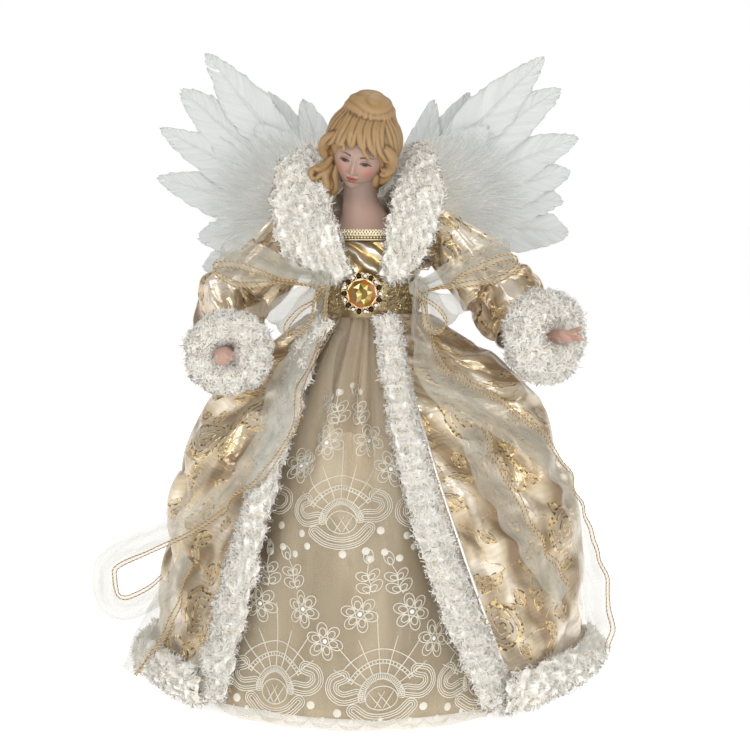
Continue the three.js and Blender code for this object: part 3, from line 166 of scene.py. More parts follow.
class Shell:
    """Collects bodies with their tints into one mesh."""

    def __init__(self):
        self.points, self.faces, self.tints, self.count = [], [], [], 0

    def add(self, points, faces, tint=(1, 1, 1)):
        points = points.reshape(-1, 3)
        tint = np.asarray(tint, float)
        if tint.shape[-1] == 3:
            tint = np.concatenate([tint, np.ones(tint.shape[:-1] + (1,))], axis=-1)
        self.tints.append(np.broadcast_to(tint.reshape(-1, 4), (len(points), 4)))
        self.points.append(points)
        self.faces += [f + self.count for f in faces if len(f)]
        self.count += len(points)

    def object(self, name, smooth=True):
        mesh = bpy.data.meshes.new(name)
        corners = np.concatenate([f.ravel() for f in self.faces]).astype(np.int32)
        sizes = np.concatenate([np.full(len(f), f.shape[1]) for f in self.faces])
        starts = np.concatenate([[0], np.cumsum(sizes)[:-1]]).astype(np.int32)
        mesh.vertices.add(self.count)
        places = np.concatenate(self.points) * MM
        mesh.vertices.foreach_set("co", places.astype(np.float32).ravel())
        mesh.loops.add(len(corners))
        mesh.loops.foreach_set("vertex_index", corners)
        mesh.polygons.add(len(sizes))
        mesh.polygons.foreach_set("loop_start", starts)
        mesh.polygons.foreach_set("use_smooth", np.full(len(sizes), smooth))
        mesh.update(calc_edges=True)
        colours = mesh.color_attributes.new("Tint", "FLOAT_COLOR", "POINT")
        colours.data.foreach_set("color", np.concatenate(self.tints).astype(np.float32).ravel())
        obj = bpy.data.objects.new(name, mesh)
        bpy.context.scene.collection.objects.link(obj)
        return obj


def grid_faces(rows, columns, closed=False):
    """Quads of a grid of points; a closed grid joins its last column to its first."""
    i, j = np.meshgrid(np.arange(rows - 1), np.arange(columns if closed else columns - 1), indexing="ij")
    k = (j + 1) % columns
    near, far = i * columns, (i + 1) * columns
    return np.stack([near + j, near + k, far + k, far + j], -1).reshape(-1, 4)


def frames(path, up=None):
    """Directions along, across and out of a path, turned as little as possible."""
    along = unit(np.gradient(path, axis=0))
    side = np.zeros_like(path)
    first = np.array(up if up is not None else (0.31, 0.22, 0.92))
    side[0] = unit(first - along[0] * (first @ along[0]))
    for i in range(1, len(path)):
        side[i] = unit(side[i - 1] - along[i] * (side[i - 1] @ along[i]))
    return along, side, np.cross(along, side)


def tube(path, radius, sides=8, flat=1.0, ridges=0, ridge=0.0, twist=0.0, up=None):
    """A closed tube along a path: its points and faces. Ridges run along it as combed strands do."""
    _, side, out = frames(path, up)
    count = len(path)
    radius = np.broadcast_to(radius, count)
    angle = np.arange(sides) / sides * TURN
    turn = angle[None] + np.linspace(0, twist, count)[:, None]
    swell = 1 + ridge * np.cos(ridges * angle)[None]
    wide = (radius[:, None] * swell * np.cos(turn))[..., None] * side[:, None]
    high = (radius[:, None] * swell * np.sin(turn) * flat)[..., None] * out[:, None]
    points = path[:, None] + wide + high
    points = np.concatenate([points.reshape(-1, 3), path[:1], path[-1:]])
    ring = np.arange(sides)
    after = (ring + 1) % sides
    last = (count - 1) * sides
    low = np.stack([np.full(sides, count * sides), after, ring], -1)
    high = np.stack([np.full(sides, count * sides + 1), last + ring, last + after], -1)
    return points, [grid_faces(count, sides, True), low, high]


def strands(lines, widths, side, thick):
    """Closed three-sided strands along lines (n, k, 3) of half widths (n, k); each ends in a point."""
    n, k, _ = lines.shape
    along = unit(np.gradient(lines, axis=1))
    side = np.broadcast_to(side, lines.shape)
    side = unit(side - along * (side * along).sum(-1, keepdims=True))
    up = np.cross(along, side)
    w = widths[..., None]
    ring = np.stack([lines + side * w, lines - side * w, lines + up * w * thick], axis=2)[:, :-1]
    points = np.concatenate([ring.reshape(n, -1, 3), lines[:, -1:]], axis=1)
    quads = []
    for j in range(k - 2):
        for c in range(3):
            d = (c + 1) % 3
            quads.append([3 * j + d, 3 * j + c, 3 * j + 3 + c, 3 * j + 3 + d])
    top = 3 * (k - 2)
    tris = [[0, 1, 2]] + [[top + (c + 1) % 3, top + c, 3 * (k - 1)] for c in range(3)]
    step = (np.arange(n) * (3 * (k - 1) + 1))[:, None, None]
    return points, [(np.array(q) + step).reshape(-1, len(q[0])) for q in (quads, tris)]


def strand_tints(root, tip, k, shade):
    """Tints from root to tip for strands, each with its own shade."""
    t = np.concatenate([np.repeat(np.linspace(0, 1, k)[:-1], 3), [1.0]])[None, :, None]
    return (lerp(np.array(root), np.array(tip), t) * shade[:, None, None]).reshape(-1, 3)


def coordinates(items, key="co"):
    """Three numbers for each of a mesh's items, as rows."""
    found = np.empty(len(items) * 3, np.float32)
    items.foreach_get(key, found)
    return found.reshape(-1, 3)


def arrays(mesh):
    """A mesh's points in millimetres, triangles and normals."""
    mesh.calc_loop_triangles()
    triangles = np.empty(len(mesh.loop_triangles) * 3, np.int32)
    mesh.loop_triangles.foreach_get("vertices", triangles)
    normals = coordinates(mesh.vertex_normals, "vector").astype(float)
    return coordinates(mesh.vertices).astype(float) / MM, triangles.reshape(-1, 3), normals


def solid_box(node):
    """A solid's lowest and highest corner."""
    return np.array(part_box(node)) / MM


def rounded(mesh, voxel, rounding):
    """A mesh's form as one body, meshed evenly and rounded: points, triangles and normals."""
    copy = bpy.data.objects.new("rounded", mesh)
    bpy.context.scene.collection.objects.link(copy)
    remesh = copy.modifiers.new("Remesh", "REMESH")
    remesh.mode = "VOXEL"
    remesh.voxel_size = voxel * MM
    smoother = copy.modifiers.new("Smooth", "SMOOTH")
    smoother.factor = 0.5
    smoother.iterations = rounding
    mesh = bpy.data.meshes.new_from_object(copy.evaluated_get(bpy.context.evaluated_depsgraph_get()))
    found = arrays(mesh)
    bpy.data.meshes.remove(copy.data)
    bpy.data.meshes.remove(mesh)
    return found


def soft_body(node, voxel, rounding):
    return rounded(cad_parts[node].data.copy(), voxel, rounding)


def run_together(shell, voxel, rounding):
    """The bodies of a shell as one rounded body."""
    lump = shell.object("lump")
    mesh = lump.data
    bpy.data.objects.remove(lump)
    return rounded(mesh, voxel, rounding)


def hollows(points, triangles, normals, times):
    """How far each point lies below the form's own average: grooves are positive."""
    ends = np.concatenate([triangles[:, [0, 1]], triangles[:, [1, 2]], triangles[:, [2, 0]]])
    ends = np.concatenate([ends, ends[:, ::-1]])
    count = np.bincount(ends[:, 0], minlength=len(points))[:, None]
    even = points
    for _ in range(times):
        sums = [np.bincount(ends[:, 0], even[ends[:, 1], k], len(points)) for k in range(3)]
        total = np.stack(sums, axis=1)
        even = (even + total / count) / 2
    return ((even - points) * normals).sum(1)


def scatter(points, triangles, count, rng):
    """Random places on triangles, by area, with the way out at each and the triangle that it is on."""
    a, b, c = (points[triangles[:, k]] for k in range(3))
    out = np.cross(b - a, c - a)
    area = np.linalg.norm(out, axis=1)
    pick = rng.choice(len(triangles), count, p=area / area.sum())
    u, v = rng.random((2, count, 1))
    over = u + v > 1
    u, v = np.where(over, 1 - u, u), np.where(over, 1 - v, v)
    return a[pick] + u * (b - a)[pick] + v * (c - a)[pick], unit(out[pick]), pick


def skin_radius(node, angles, heights):
    """Radius of a solid's outer skin about the upright axis, by rays from outside; gaps are filled in."""
    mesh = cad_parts[node].data
    tree = BVHTree.FromPolygons([v.co for v in mesh.vertices], [p.vertices for p in mesh.polygons])
    out = np.full(angles.shape, np.nan)
    for index in np.ndindex(angles.shape):
        aim = Vector((math.sin(angles[index]), -math.cos(angles[index]), 0))
        start = aim * RAY_REACH + Vector((0, 0, heights[index] * MM))
        hit = tree.ray_cast(start, -aim, RAY_REACH)[0]
        if hit is not None:
            out[index] = math.hypot(hit.x, hit.y) / MM
    columns = np.arange(out.shape[1])
    for row in out:
        good = ~np.isnan(row)
        if good.any():
            row[:] = np.interp(columns, columns[good], row[good])
    rows = np.arange(len(out))
    good = ~np.isnan(out[:, 0])
    for column in out.T:
        column[:] = np.interp(rows, rows[good], column[good])
    return out


class Value:
    """A number that a material's nodes work out. Arithmetic on it adds nodes."""

    def __init__(self, paint, socket):
        self.paint = paint
        self.socket = socket

    def __add__(self, other):
        return self.paint.math("ADD", self, other)

    def __sub__(self, other):
        return self.paint.math("SUBTRACT", self, other)

    def __rsub__(self, other):
        return self.paint.math("SUBTRACT", other, self)

    def __mul__(self, other):
        return self.paint.math("MULTIPLY", self, other)

    def __truediv__(self, other):
        return self.paint.math("DIVIDE", self, other)

    def __abs__(self):
        return self.paint.math("ABSOLUTE", self)


class Paint:
    """A material with one Principled surface, and short calls for its nodes."""

    def __init__(self, name, **settings):
        self.material = bpy.data.materials.new(name)
        self.material.use_nodes = True
        self.tree = self.material.node_tree
        self.surface = self.tree.nodes["Principled BSDF"]
        for socket, value in settings.items():
            if socket in ("Base_Color", "Emission_Color"):
                value = (*value, 1)
            self.surface.inputs[socket.replace("_", " ")].default_value = value

    def feed(self, source, socket):
        """Links a socket to a source, or sets it to a constant."""
        if isinstance(source, Value):
            source = source.socket
        if isinstance(source, bpy.types.NodeSocket):
            self.tree.links.new(source, socket)
        else:
            socket.default_value = source

    def shine(self, name, source):
        self.feed(source, self.surface.inputs[name])

    def colour(self, source):
        self.shine("Base Color", source)

    def add(self, kind, settings, **sources):
        node = self.tree.nodes.new("ShaderNode" + kind)
        for key, value in settings.items():
            setattr(node, key, value)
        for key, source in sources.items():
            self.feed(source, node.inputs[key.replace("_", " ")])
        return node

    def operate(self, kind, operation, sources):
        node = self.add(kind, {"operation": operation})
        for source, socket in zip(sources, node.inputs):
            self.feed(source, socket)
        return node.outputs[0]

    def math(self, operation, *sources):
        return Value(self, self.operate("Math", operation, sources))

    def vector(self, operation, *sources):
        return self.operate("VectorMath", operation, sources)

    def mask(self, value, low, high):
        """One below low, zero above high, smooth between."""
        ends = {"From_Min": low, "From_Max": high, "To_Min": 1.0, "To_Max": 0.0}
        node = self.add("MapRange", {"interpolation_type": "SMOOTHSTEP"}, Value=value, **ends)
        return Value(self, node.outputs[0])

    def line(self, value, half, soft):
        """One where a value is near zero."""
        return self.mask(abs(value), half, half + soft)

    def mix(self, share, low, high):
        node = self.add("Mix", {"data_type": "RGBA"})
        for source, place in ((share, "Factor_Float"), (low, "A_Color"), (high, "B_Color")):
            socket = next(each for each in node.inputs if each.identifier == place)
            self.feed((*source, 1) if isinstance(source, tuple) else source, socket)
        return next(each for each in node.outputs if each.identifier == "Result_Color")

    def cloth(self):
        """Place on a cloth, in metres across and down."""
        return self.add("UVMap", {"uv_map": "Cloth"}).outputs[0]

    def axes(self, vector):
        return [Value(self, socket) for socket in self.add("SeparateXYZ", {}, Vector=vector).outputs]

    def turned(self, vector, angle):
        return self.add("VectorRotate", {"rotation_type": "Z_AXIS"}, Vector=vector, Angle=angle).outputs[0]

    def noise(self, vector, scale, detail=2.0):
        return Value(self, self.add("TexNoise", {}, Vector=vector, Scale=scale, Detail=detail).outputs[0])

    def wave(self, vector, direction="X", **sources):
        node = self.add("TexWave", {"bands_direction": direction}, Vector=vector, **sources)
        return Value(self, node.outputs["Fac"])

    def bump(self, height, distance, strength):
        node = self.add("Bump", {}, Height=height, Distance=distance * MM, Strength=strength)
        self.shine("Normal", node.outputs[0])


def tinted(name, **settings):
    """A material that takes its colour from the mesh's tint."""
    paint = Paint(name, **settings)
    tint = paint.add("VertexColor", {"layer_name": "Tint"})
    paint.colour(tint.outputs[0])
    return paint, Value(paint, tint.outputs[1])


# Painted glow: emission that stands in for light passing from strand to strand in white pile, and through
# thin cloth, vanes and down
SOFT_GLOW = {"Emission_Color": (1.0, 0.98, 0.92), "Emission_Strength": 0.10}
ORGANZA_GLOW = {"Emission_Color": (1.0, 0.98, 0.90), "Emission_Strength": 0.05}
FEATHER_GLOW = {"Emission_Color": (0.98, 1.0, 0.99), "Emission_Strength": 0.07}
DOWN_GLOW = {"Emission_Color": (1.0, 0.99, 0.95), "Emission_Strength": 0.18}


def fur_paint():
    """White pile, and metal where the tint is see-through."""
    paint, pile = tinted("white_fur", Sheen_Weight=0.3, Sheen_Roughness=0.6, **SOFT_GLOW)
    paint.shine("Metallic", 1.0 - pile)
    paint.shine("Roughness", pile * (PILE_ROUGHNESS - TINSEL_ROUGHNESS) + TINSEL_ROUGHNESS)
    return paint


PILE_ROUGHNESS, TINSEL_ROUGHNESS = 0.87, 0.22
STREAK_SCALE, STREAK_STRETCH = 230.0, (1, 0.12, 1)
# Satin: scale and stretch of its painted shades, and where its top, painted paler as if lit, turns into its
# foot, painted darker, in metres
SATIN_SHADES, SATIN_STRETCH = 42.0, (1, 0.22, 1)
SATIN_HIGH, SATIN_LOW = 0.05, 0.15
# Colours of the top and of the foot, each lit and in painted shade
SATIN_LIT_TOP = ((0.96, 0.82, 0.60), (0.72, 0.55, 0.33))
SATIN_SHADED_FOOT = ((0.46, 0.36, 0.22), (0.25, 0.165, 0.065))
LAME_SLANT, LAME_PLEATS = 0.9, 42.0
LAME_TINTS = ((0.62, 0.42, 0.16), (0.60, 0.54, 0.44))
# Brocade: sizes of its marks are shares of a motif's cell, whose size is in millimetres
MARK_EDGE = 0.012
VEINS, VEIN_SLANT = 16.0, 0.9
ROSE_LOBES, ROSE_TWIST, ROSE_COILS = 3.0, 24.0, 3.4
# Leaves: cell, offset, length and half width. Rose: cell, offset and radius.
LEAVES = ((30, 0.0, 0.25, 0.13), (24, 0.43, 0.25, 0.14))
LEAF_FILLS = ((0.48, 0.34, 0.19), (0.52, 0.38, 0.22))
ROSE, ROSE_FILL = (58, 0.77, 0.22), (0.42, 0.34, 0.25)
FOLD_STRETCH = (1, 0.5, 1)
FLAT_CELLS = {"voronoi_dimensions": "2D"}
BROCADE_METAL = 0.5
BROCADE_GRAIN = (0.36, 0.23, 0.14)
# Painted shade and painted highlight for the brocade's folds
BROCADE_SHADE = (0.27, 0.175, 0.085)
BROCADE_HIGHLIGHT = (0.86, 0.77, 0.64)
BROCADE_GOLD = (0.86, 0.62, 0.26)
BROCADE_DARK = (0.10, 0.065, 0.03)


def brocade_paint():
    """Satin with veined leaves, roses and twigs woven in gold and grey."""
    paint = Paint("brocade", Roughness=0.28, Sheen_Weight=0.15, Coat_Weight=0.55, Coat_Roughness=0.32)
    cloth = paint.cloth()

    def scaled(size, offset):
        """Place on the cloth in cells of a size, moved by an offset."""
        moved = paint.vector("ADD", cloth, (offset, offset * 0.7, 0))
        cell = size * MM
        return paint.vector("DIVIDE", moved, (cell, cell, cell))

    def motif(size, offset):
        """Coordinates about the nearest of many scattered centres, each turned its own way."""
        place = scaled(size, offset)
        cells = paint.add("TexVoronoi", FLAT_CELLS, Vector=place, Scale=1.0, Randomness=0.7)
        local = paint.vector("SUBTRACT", place, cells.outputs["Position"])
        heading = paint.add("SeparateColor", {}, Color=cells.outputs["Color"]).outputs[0]
        return paint.axes(paint.turned(local, Value(paint, heading) * TURN))[:2]

    def leaf(size, offset, length, width):
        x, y = motif(size, offset)
        y = abs(y)
        share = x / length
        past = y - (1 - share * share) * width
        inside = paint.mask(past, -MARK_EDGE, MARK_EDGE)
        rib = paint.line(y, 0.006, 0.012)
        vein = paint.line(paint.math("FRACT", (x - y * VEIN_SLANT) * VEINS) - 0.5, 0.06, 0.2) * 0.6
        marks = paint.math("MAXIMUM", rib, vein) * inside
        return inside, paint.math("MAXIMUM", paint.line(past, MARK_EDGE, 0.014), marks)

    def rose(size, offset, radius):
        x, y = motif(size, offset)
        reach = paint.math("SQRT", x * x + y * y)
        angle = paint.math("ARCTAN2", y, x)
        petals = paint.math("SINE", angle * ROSE_LOBES + reach * ROSE_TWIST)
        coil = reach * (ROSE_COILS / radius) + angle / TURN + petals * 0.2
        curl = paint.line(paint.math("FRACT", coil) - 0.5, 0.07, 0.14)
        past = reach - petals * (radius * 0.09) - radius
        inside = paint.mask(past, -MARK_EDGE, MARK_EDGE)
        return inside, paint.math("MAXIMUM", curl * inside, paint.line(past, 0.01, 0.014))

    bend = paint.add("TexNoise", {}, Vector=scaled(24, 0.3), Scale=1.0, Detail=1.0)
    bent = paint.vector("ADD", scaled(34, 0.11), bend.outputs["Color"])
    net = paint.add("TexVoronoi", {**FLAT_CELLS, "feature": "DISTANCE_TO_EDGE"}, Vector=bent, Scale=1.0)
    twig = paint.line(Value(paint, net.outputs["Distance"]), 0.008, 0.012)
    grain = paint.wave(scaled(14, 0.2), "Y", Scale=1.0, Distortion=7.0, Detail=1.0)
    fold = paint.noise(paint.vector("MULTIPLY", scaled(20, 0.33), FOLD_STRETCH), 1.0, 1.0)
    # Painted shade in the folds' hollows and painted highlights on their crests, from the same noise that
    # bumps them
    colour = paint.mix(paint.mask(fold, 0.38, 0.53) * 0.85, CHAMPAGNE, BROCADE_SHADE)
    colour = paint.mix((1 - paint.mask(fold, 0.52, 0.64)) * 0.85, colour, BROCADE_HIGHLIGHT)
    colour = paint.mix(grain * 0.16, colour, BROCADE_GRAIN)
    lines = twig * 0.55
    shapes = [leaf(*sizes) for sizes in LEAVES] + [rose(*ROSE)]
    for (inside, marks), fill in zip(shapes, (*LEAF_FILLS, ROSE_FILL)):
        colour = paint.mix(inside * 0.6, colour, fill)
        lines = paint.math("MAXIMUM", lines * (1 - inside), marks)
    breaks = paint.mask(paint.noise(scaled(3.4, 0.61), 1.0), 0.54, 0.64)
    lines = lines * (breaks * 0.8 + 0.2)
    paint.shine("Metallic", paint.math("MAXIMUM", lines, BROCADE_METAL))
    # Painted glints: the gold thread's marks break into random bright gold and dark flecks
    painted_glints = paint.mask(paint.noise(scaled(2.6, 0.15), 1.0), 0.42, 0.52)
    paint.colour(paint.mix(lines * 0.9, colour, paint.mix(painted_glints, BROCADE_GOLD, BROCADE_DARK)))
    crumple = paint.noise(scaled(10, 0.9), 1.0, 3.0)
    rib = paint.wave(scaled(7.5, 0.4), "Y", Scale=1.0, Distortion=1.2)
    paint.bump(fold * 2.4 + crumple + rib * 0.05 + lines * 0.3, 0.9, 0.8)
    return paint


def organza_paint(name, colour, alpha, streaks, **settings):
    """Sheer cloth, denser in soft streaks that run along it."""
    paint = Paint(name, Base_Color=colour, Roughness=0.45, Sheen_Weight=0.4, **settings)
    streak = paint.noise(paint.vector("MULTIPLY", paint.cloth(), STREAK_STRETCH), STREAK_SCALE)
    paint.shine("Alpha", streak * streaks + (alpha - streaks / 2))
    paint.bump(streak, 0.6, 0.5)
    return paint


def satin_paint():
    """Lining satin with broad upright painted highlights and shades, painted pale under the belt and darker
    towards the hem.
    """
    paint = Paint("champagne_satin", Metallic=0.15, Roughness=0.42, Sheen_Weight=0.2)
    cloth = paint.cloth()
    shade = paint.noise(paint.vector("MULTIPLY", cloth, SATIN_STRETCH), SATIN_SHADES, 1.0)
    shade = paint.mask(shade, 0.36, 0.62)
    # Painted light and shade: paler at the top under the belt, darker towards the hem, in upright bands
    top = paint.mask(paint.axes(cloth)[1], SATIN_HIGH, SATIN_LOW)
    paint.colour(paint.mix(top, paint.mix(shade, *SATIN_SHADED_FOOT), paint.mix(shade, *SATIN_LIT_TOP)))
    paint.bump(shade, 1.4, 0.5)
    return paint


def lame_paint():
    """Crinkled cloth of gold and silver thread, pleated aslant."""
    paint = Paint("silver_lame", Metallic=0.85, Roughness=0.34)
    slanted = paint.turned(paint.cloth(), LAME_SLANT)
    pleats = paint.wave(slanted, Scale=LAME_PLEATS, Distortion=5.0, Detail=3.0)
    paint.colour(paint.mix(pleats, *LAME_TINTS))
    paint.bump(pleats, 1.2, 0.9)
    return paint


def place(obj, body, paint, slot, *nodes):
    """Gives a piece its material and the body that it rides on, and hides the solids that it stands for."""
    obj.data.materials.append(paint.material)
    if "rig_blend" not in obj:
        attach(obj, body)
    if nodes:
        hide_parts(*nodes)
    return obj


def thicken(obj, thickness, offset):
    solid = obj.modifiers.new("Thickness", "SOLIDIFY")
    solid.thickness = thickness * MM
    solid.offset = offset


def heavy(obj):
    """Makes settled coat cloth finer and gives it its thickness, inwards."""
    finer = obj.modifiers.new("Finer", "SUBSURF")
    finer.levels = 1
    finer.render_levels = 1
    thicken(obj, COAT_THICKNESS, -1)


def cloth_object(name, grid, thickness=0.0):
    """Cloth from a grid of points, with its real size in metres as a map."""
    rows, columns, _ = grid.shape
    shell = Shell()
    shell.add(grid, [grid_faces(rows, columns)])
    obj = shell.object(name)
    across = distances(grid, 1)
    across -= across[:, columns // 2, None]
    both = (np.stack([across, distances(grid)], axis=-1) * MM).reshape(-1, 2)
    corners = np.empty(len(obj.data.loops), np.int32)
    obj.data.loops.foreach_get("vertex_index", corners)
    layer = obj.data.uv_layers.new(name="Cloth")
    layer.data.foreach_set("uv", both[corners].astype(np.float32).ravel())
    if thickness:
        thicken(obj, thickness, 0)
    return obj


def cloth_area(grid):
    """Area in square metres of cloth that follows a grid."""
    a, b, c, d = grid[:-1, :-1], grid[:-1, 1:], grid[1:, 1:], grid[1:, :-1]
    halves = np.linalg.norm(np.cross(b - a, c - a), axis=-1) + np.linalg.norm(np.cross(c - a, d - a), axis=-1)
    return float(halves.sum() / 2 * MM * MM)


COAT_THICKNESS, LINING_THICKNESS = 0.7, 0.6
FOLD_SPREAD, PIN_SPREAD = 60, 8
CLOTH_SETTINGS = {
    "quality": 7,
    "mass": 0.2,
    "tension_stiffness": 20,
    "compression_stiffness": 20,
    "shear_stiffness": 8,
    "tension_damping": 10,
    "compression_damping": 10,
    "bending_damping": 2,
    "air_damping": 4,
    "vertex_group_mass": "Pin",
}


def drape(obj, pins, frames_run, growth, stiffness, gravity, shape, closed=False):
    """Lets pinned cloth, a little too large for its place, settle into folds but keep its overall shape."""
    group = obj.vertex_groups.new(name="Pin")
    group.add([int(i) for i in pins], 1.0, "REPLACE")
    cloth = obj.modifiers.new("Cloth", "CLOTH")
    settings = dict(CLOTH_SETTINGS, bending_stiffness=stiffness, shrink_min=-growth, shrink_max=-growth)
    for key, value in settings.items():
        setattr(cloth.settings, key, value)
    cloth.settings.effector_weights.gravity = gravity
    cloth.collision_settings.use_collision = False
    cloth.point_cache.frame_start = 1
    cloth.point_cache.frame_end = frames_run
    scene = bpy.context.scene
    for number in range(1, frames_run + 1):
        scene.frame_set(number)
    settled = obj.evaluated_get(bpy.context.evaluated_depsgraph_get()).to_mesh()
    places = coordinates(settled.vertices).reshape(shape)
    obj.modifiers.remove(cloth)
    scene.frame_set(1)
    sag = coordinates(obj.data.vertices).reshape(shape) - places
    sag = soften(soften(sag, FOLD_SPREAD, 0), FOLD_SPREAD, 1, closed)
    free = np.ones(shape[:2])
    free.flat[pins] = 0
    free = free * soften(soften(free, PIN_SPREAD, 0), PIN_SPREAD, 1, closed)
    obj.data.vertices.foreach_set("co", (places + sag * free[..., None]).astype(np.float32).ravel())
    obj.data.update()


WORLD_STRENGTH = 1.0
# The surroundings' brightness, from the horizon and below it to straight up
WORLD_LEVELS = ((0.0, 1.0), (0.2, 1.0), (0.34, 0.3), (1.0, 0.36))
FLOOR_GLOW = {"Emission_Color": (1, 1, 1), "Emission_Strength": 0.64}
FLOOR_HALF = 40000
FLOOR_CORNERS = ((-1, -1, 0), (1, -1, 0), (1, 1, 0), (-1, 1, 0))
# Lights: place and size in metres, and watts
LIGHTS = (
    ("key_light", (-0.9, -1.3, 1.35), 0.7, 10),
    ("front_light", (0.2, -1.6, 0.6), 0.5, 7),
    ("fill_light", (1.3, -1.0, 0.75), 1.0, 4),
    ("top_light", (0.3, 0.5, 1.6), 0.9, 7),
)


def studio():
    """Pale floor, white surroundings, soft lights and the camera."""
    scene = bpy.context.scene
    scene.view_settings.view_transform = "Standard"
    camera = bpy.data.objects.new("camera", bpy.data.cameras.new("camera"))
    camera.data.lens = CAMERA_LENS
    camera.data.sensor_width = SENSOR
    back = Vector((0, -math.cos(CAMERA_PITCH), math.sin(CAMERA_PITCH)))
    camera.location = CAMERA_TARGET + back * CAMERA_DISTANCE
    camera.rotation_euler = (math.pi / 2 - CAMERA_PITCH, 0, 0)
    scene.collection.objects.link(camera)
    scene.camera = camera

    world = bpy.data.worlds.new("studio")
    scene.world = world
    world.use_nodes = True
    nodes, links = world.node_tree.nodes, world.node_tree.links
    place_node = nodes.new("ShaderNodeTexCoord")
    axes = nodes.new("ShaderNodeSeparateXYZ")
    ramp = nodes.new("ShaderNodeValToRGB")
    links.new(place_node.outputs["Generated"], axes.inputs[0])
    links.new(axes.outputs[2], ramp.inputs[0])
    links.new(ramp.outputs[0], nodes["Background"].inputs["Color"])
    nodes["Background"].inputs["Strength"].default_value = WORLD_STRENGTH
    while len(ramp.color_ramp.elements) < len(WORLD_LEVELS):
        ramp.color_ramp.elements.new(0.5)
    for element, (height, value) in zip(ramp.color_ramp.elements, WORLD_LEVELS):
        element.position = height
        element.color = (value, value, value, 1)

    shell = Shell()
    shell.add(np.array(FLOOR_CORNERS) * FLOOR_HALF, [np.array([[0, 1, 2, 3]])])
    floor = shell.object("floor")
    paint = Paint("floor", Base_Color=(0.9, 0.9, 0.9), Roughness=0.9, **FLOOR_GLOW)
    floor.data.materials.append(paint.material)
    for name, spot, size, power in LIGHTS:
        light = bpy.data.lights.new(name, "AREA")
        light.size = size
        light.energy = power
        lamp = bpy.data.objects.new(name, light)
        lamp.location = spot
        lamp.rotation_euler = (CAMERA_TARGET - Vector(spot)).to_track_quat("-Z", "Y").to_euler()
        scene.collection.objects.link(lamp)


def curls(roots, aim, length, curl, turns, count, rng):
    """Lines that leave their roots along aim and wind as they go."""
    n = len(roots)
    first = unit(np.cross(aim, rng.normal(size=(n, 3))))
    second = np.cross(aim, first)
    t = np.linspace(0, 1, count)[None, :, None]
    phase = rng.uniform(0, TURN, (n, 1, 1)) + turns * t
    wind = first[:, None] * np.cos(phase) + second[:, None] * np.sin(phase)
    wind = (wind - wind[:, :1]) * curl
    return roots[:, None] + aim[:, None] * length[:, None, None] * t + wind, first[:, None]


FUR_VOXEL, FUR_ROUNDING = 1.6, 6
FUR_STEPS = 4
FUR_WIDTHS = (0.3, 0.3, 0.27, 0.18)
FUR_LUMP = 0.7
FUR_LUMP_SIZE = 15
FUR_TUFT = 0.85
FUR_TUFT_SIZE = 6.5
FUR_CLUMP_SIZE = 6
FUR_HOOK = 2.3
# Pile colours at root and tip: the darker root is painted shade deep in the pile
FUR_SHADED_ROOT = (0.62, 0.57, 0.47)
FUR_TIP = (0.84, 0.82, 0.76)
TINSEL_SHARE = 0.05
TINSEL_WIDTH = 0.18
FLOOR_CLEARANCE = 0.3
FUR_RISE_SPAN = 28


def hooks(roots, aim, length, bend, count, rng):
    """Lines that leave their roots along aim and curl over."""
    side = unit(np.cross(aim, rng.normal(size=aim.shape)))
    turn = np.linspace(0, bend, count)[None, :, None]
    reach = aim[:, None] * np.sin(turn) + side[:, None] * (1 - np.cos(turn))
    return roots[:, None] + reach * (length / bend)[:, None, None], np.cross(aim, side)[:, None]


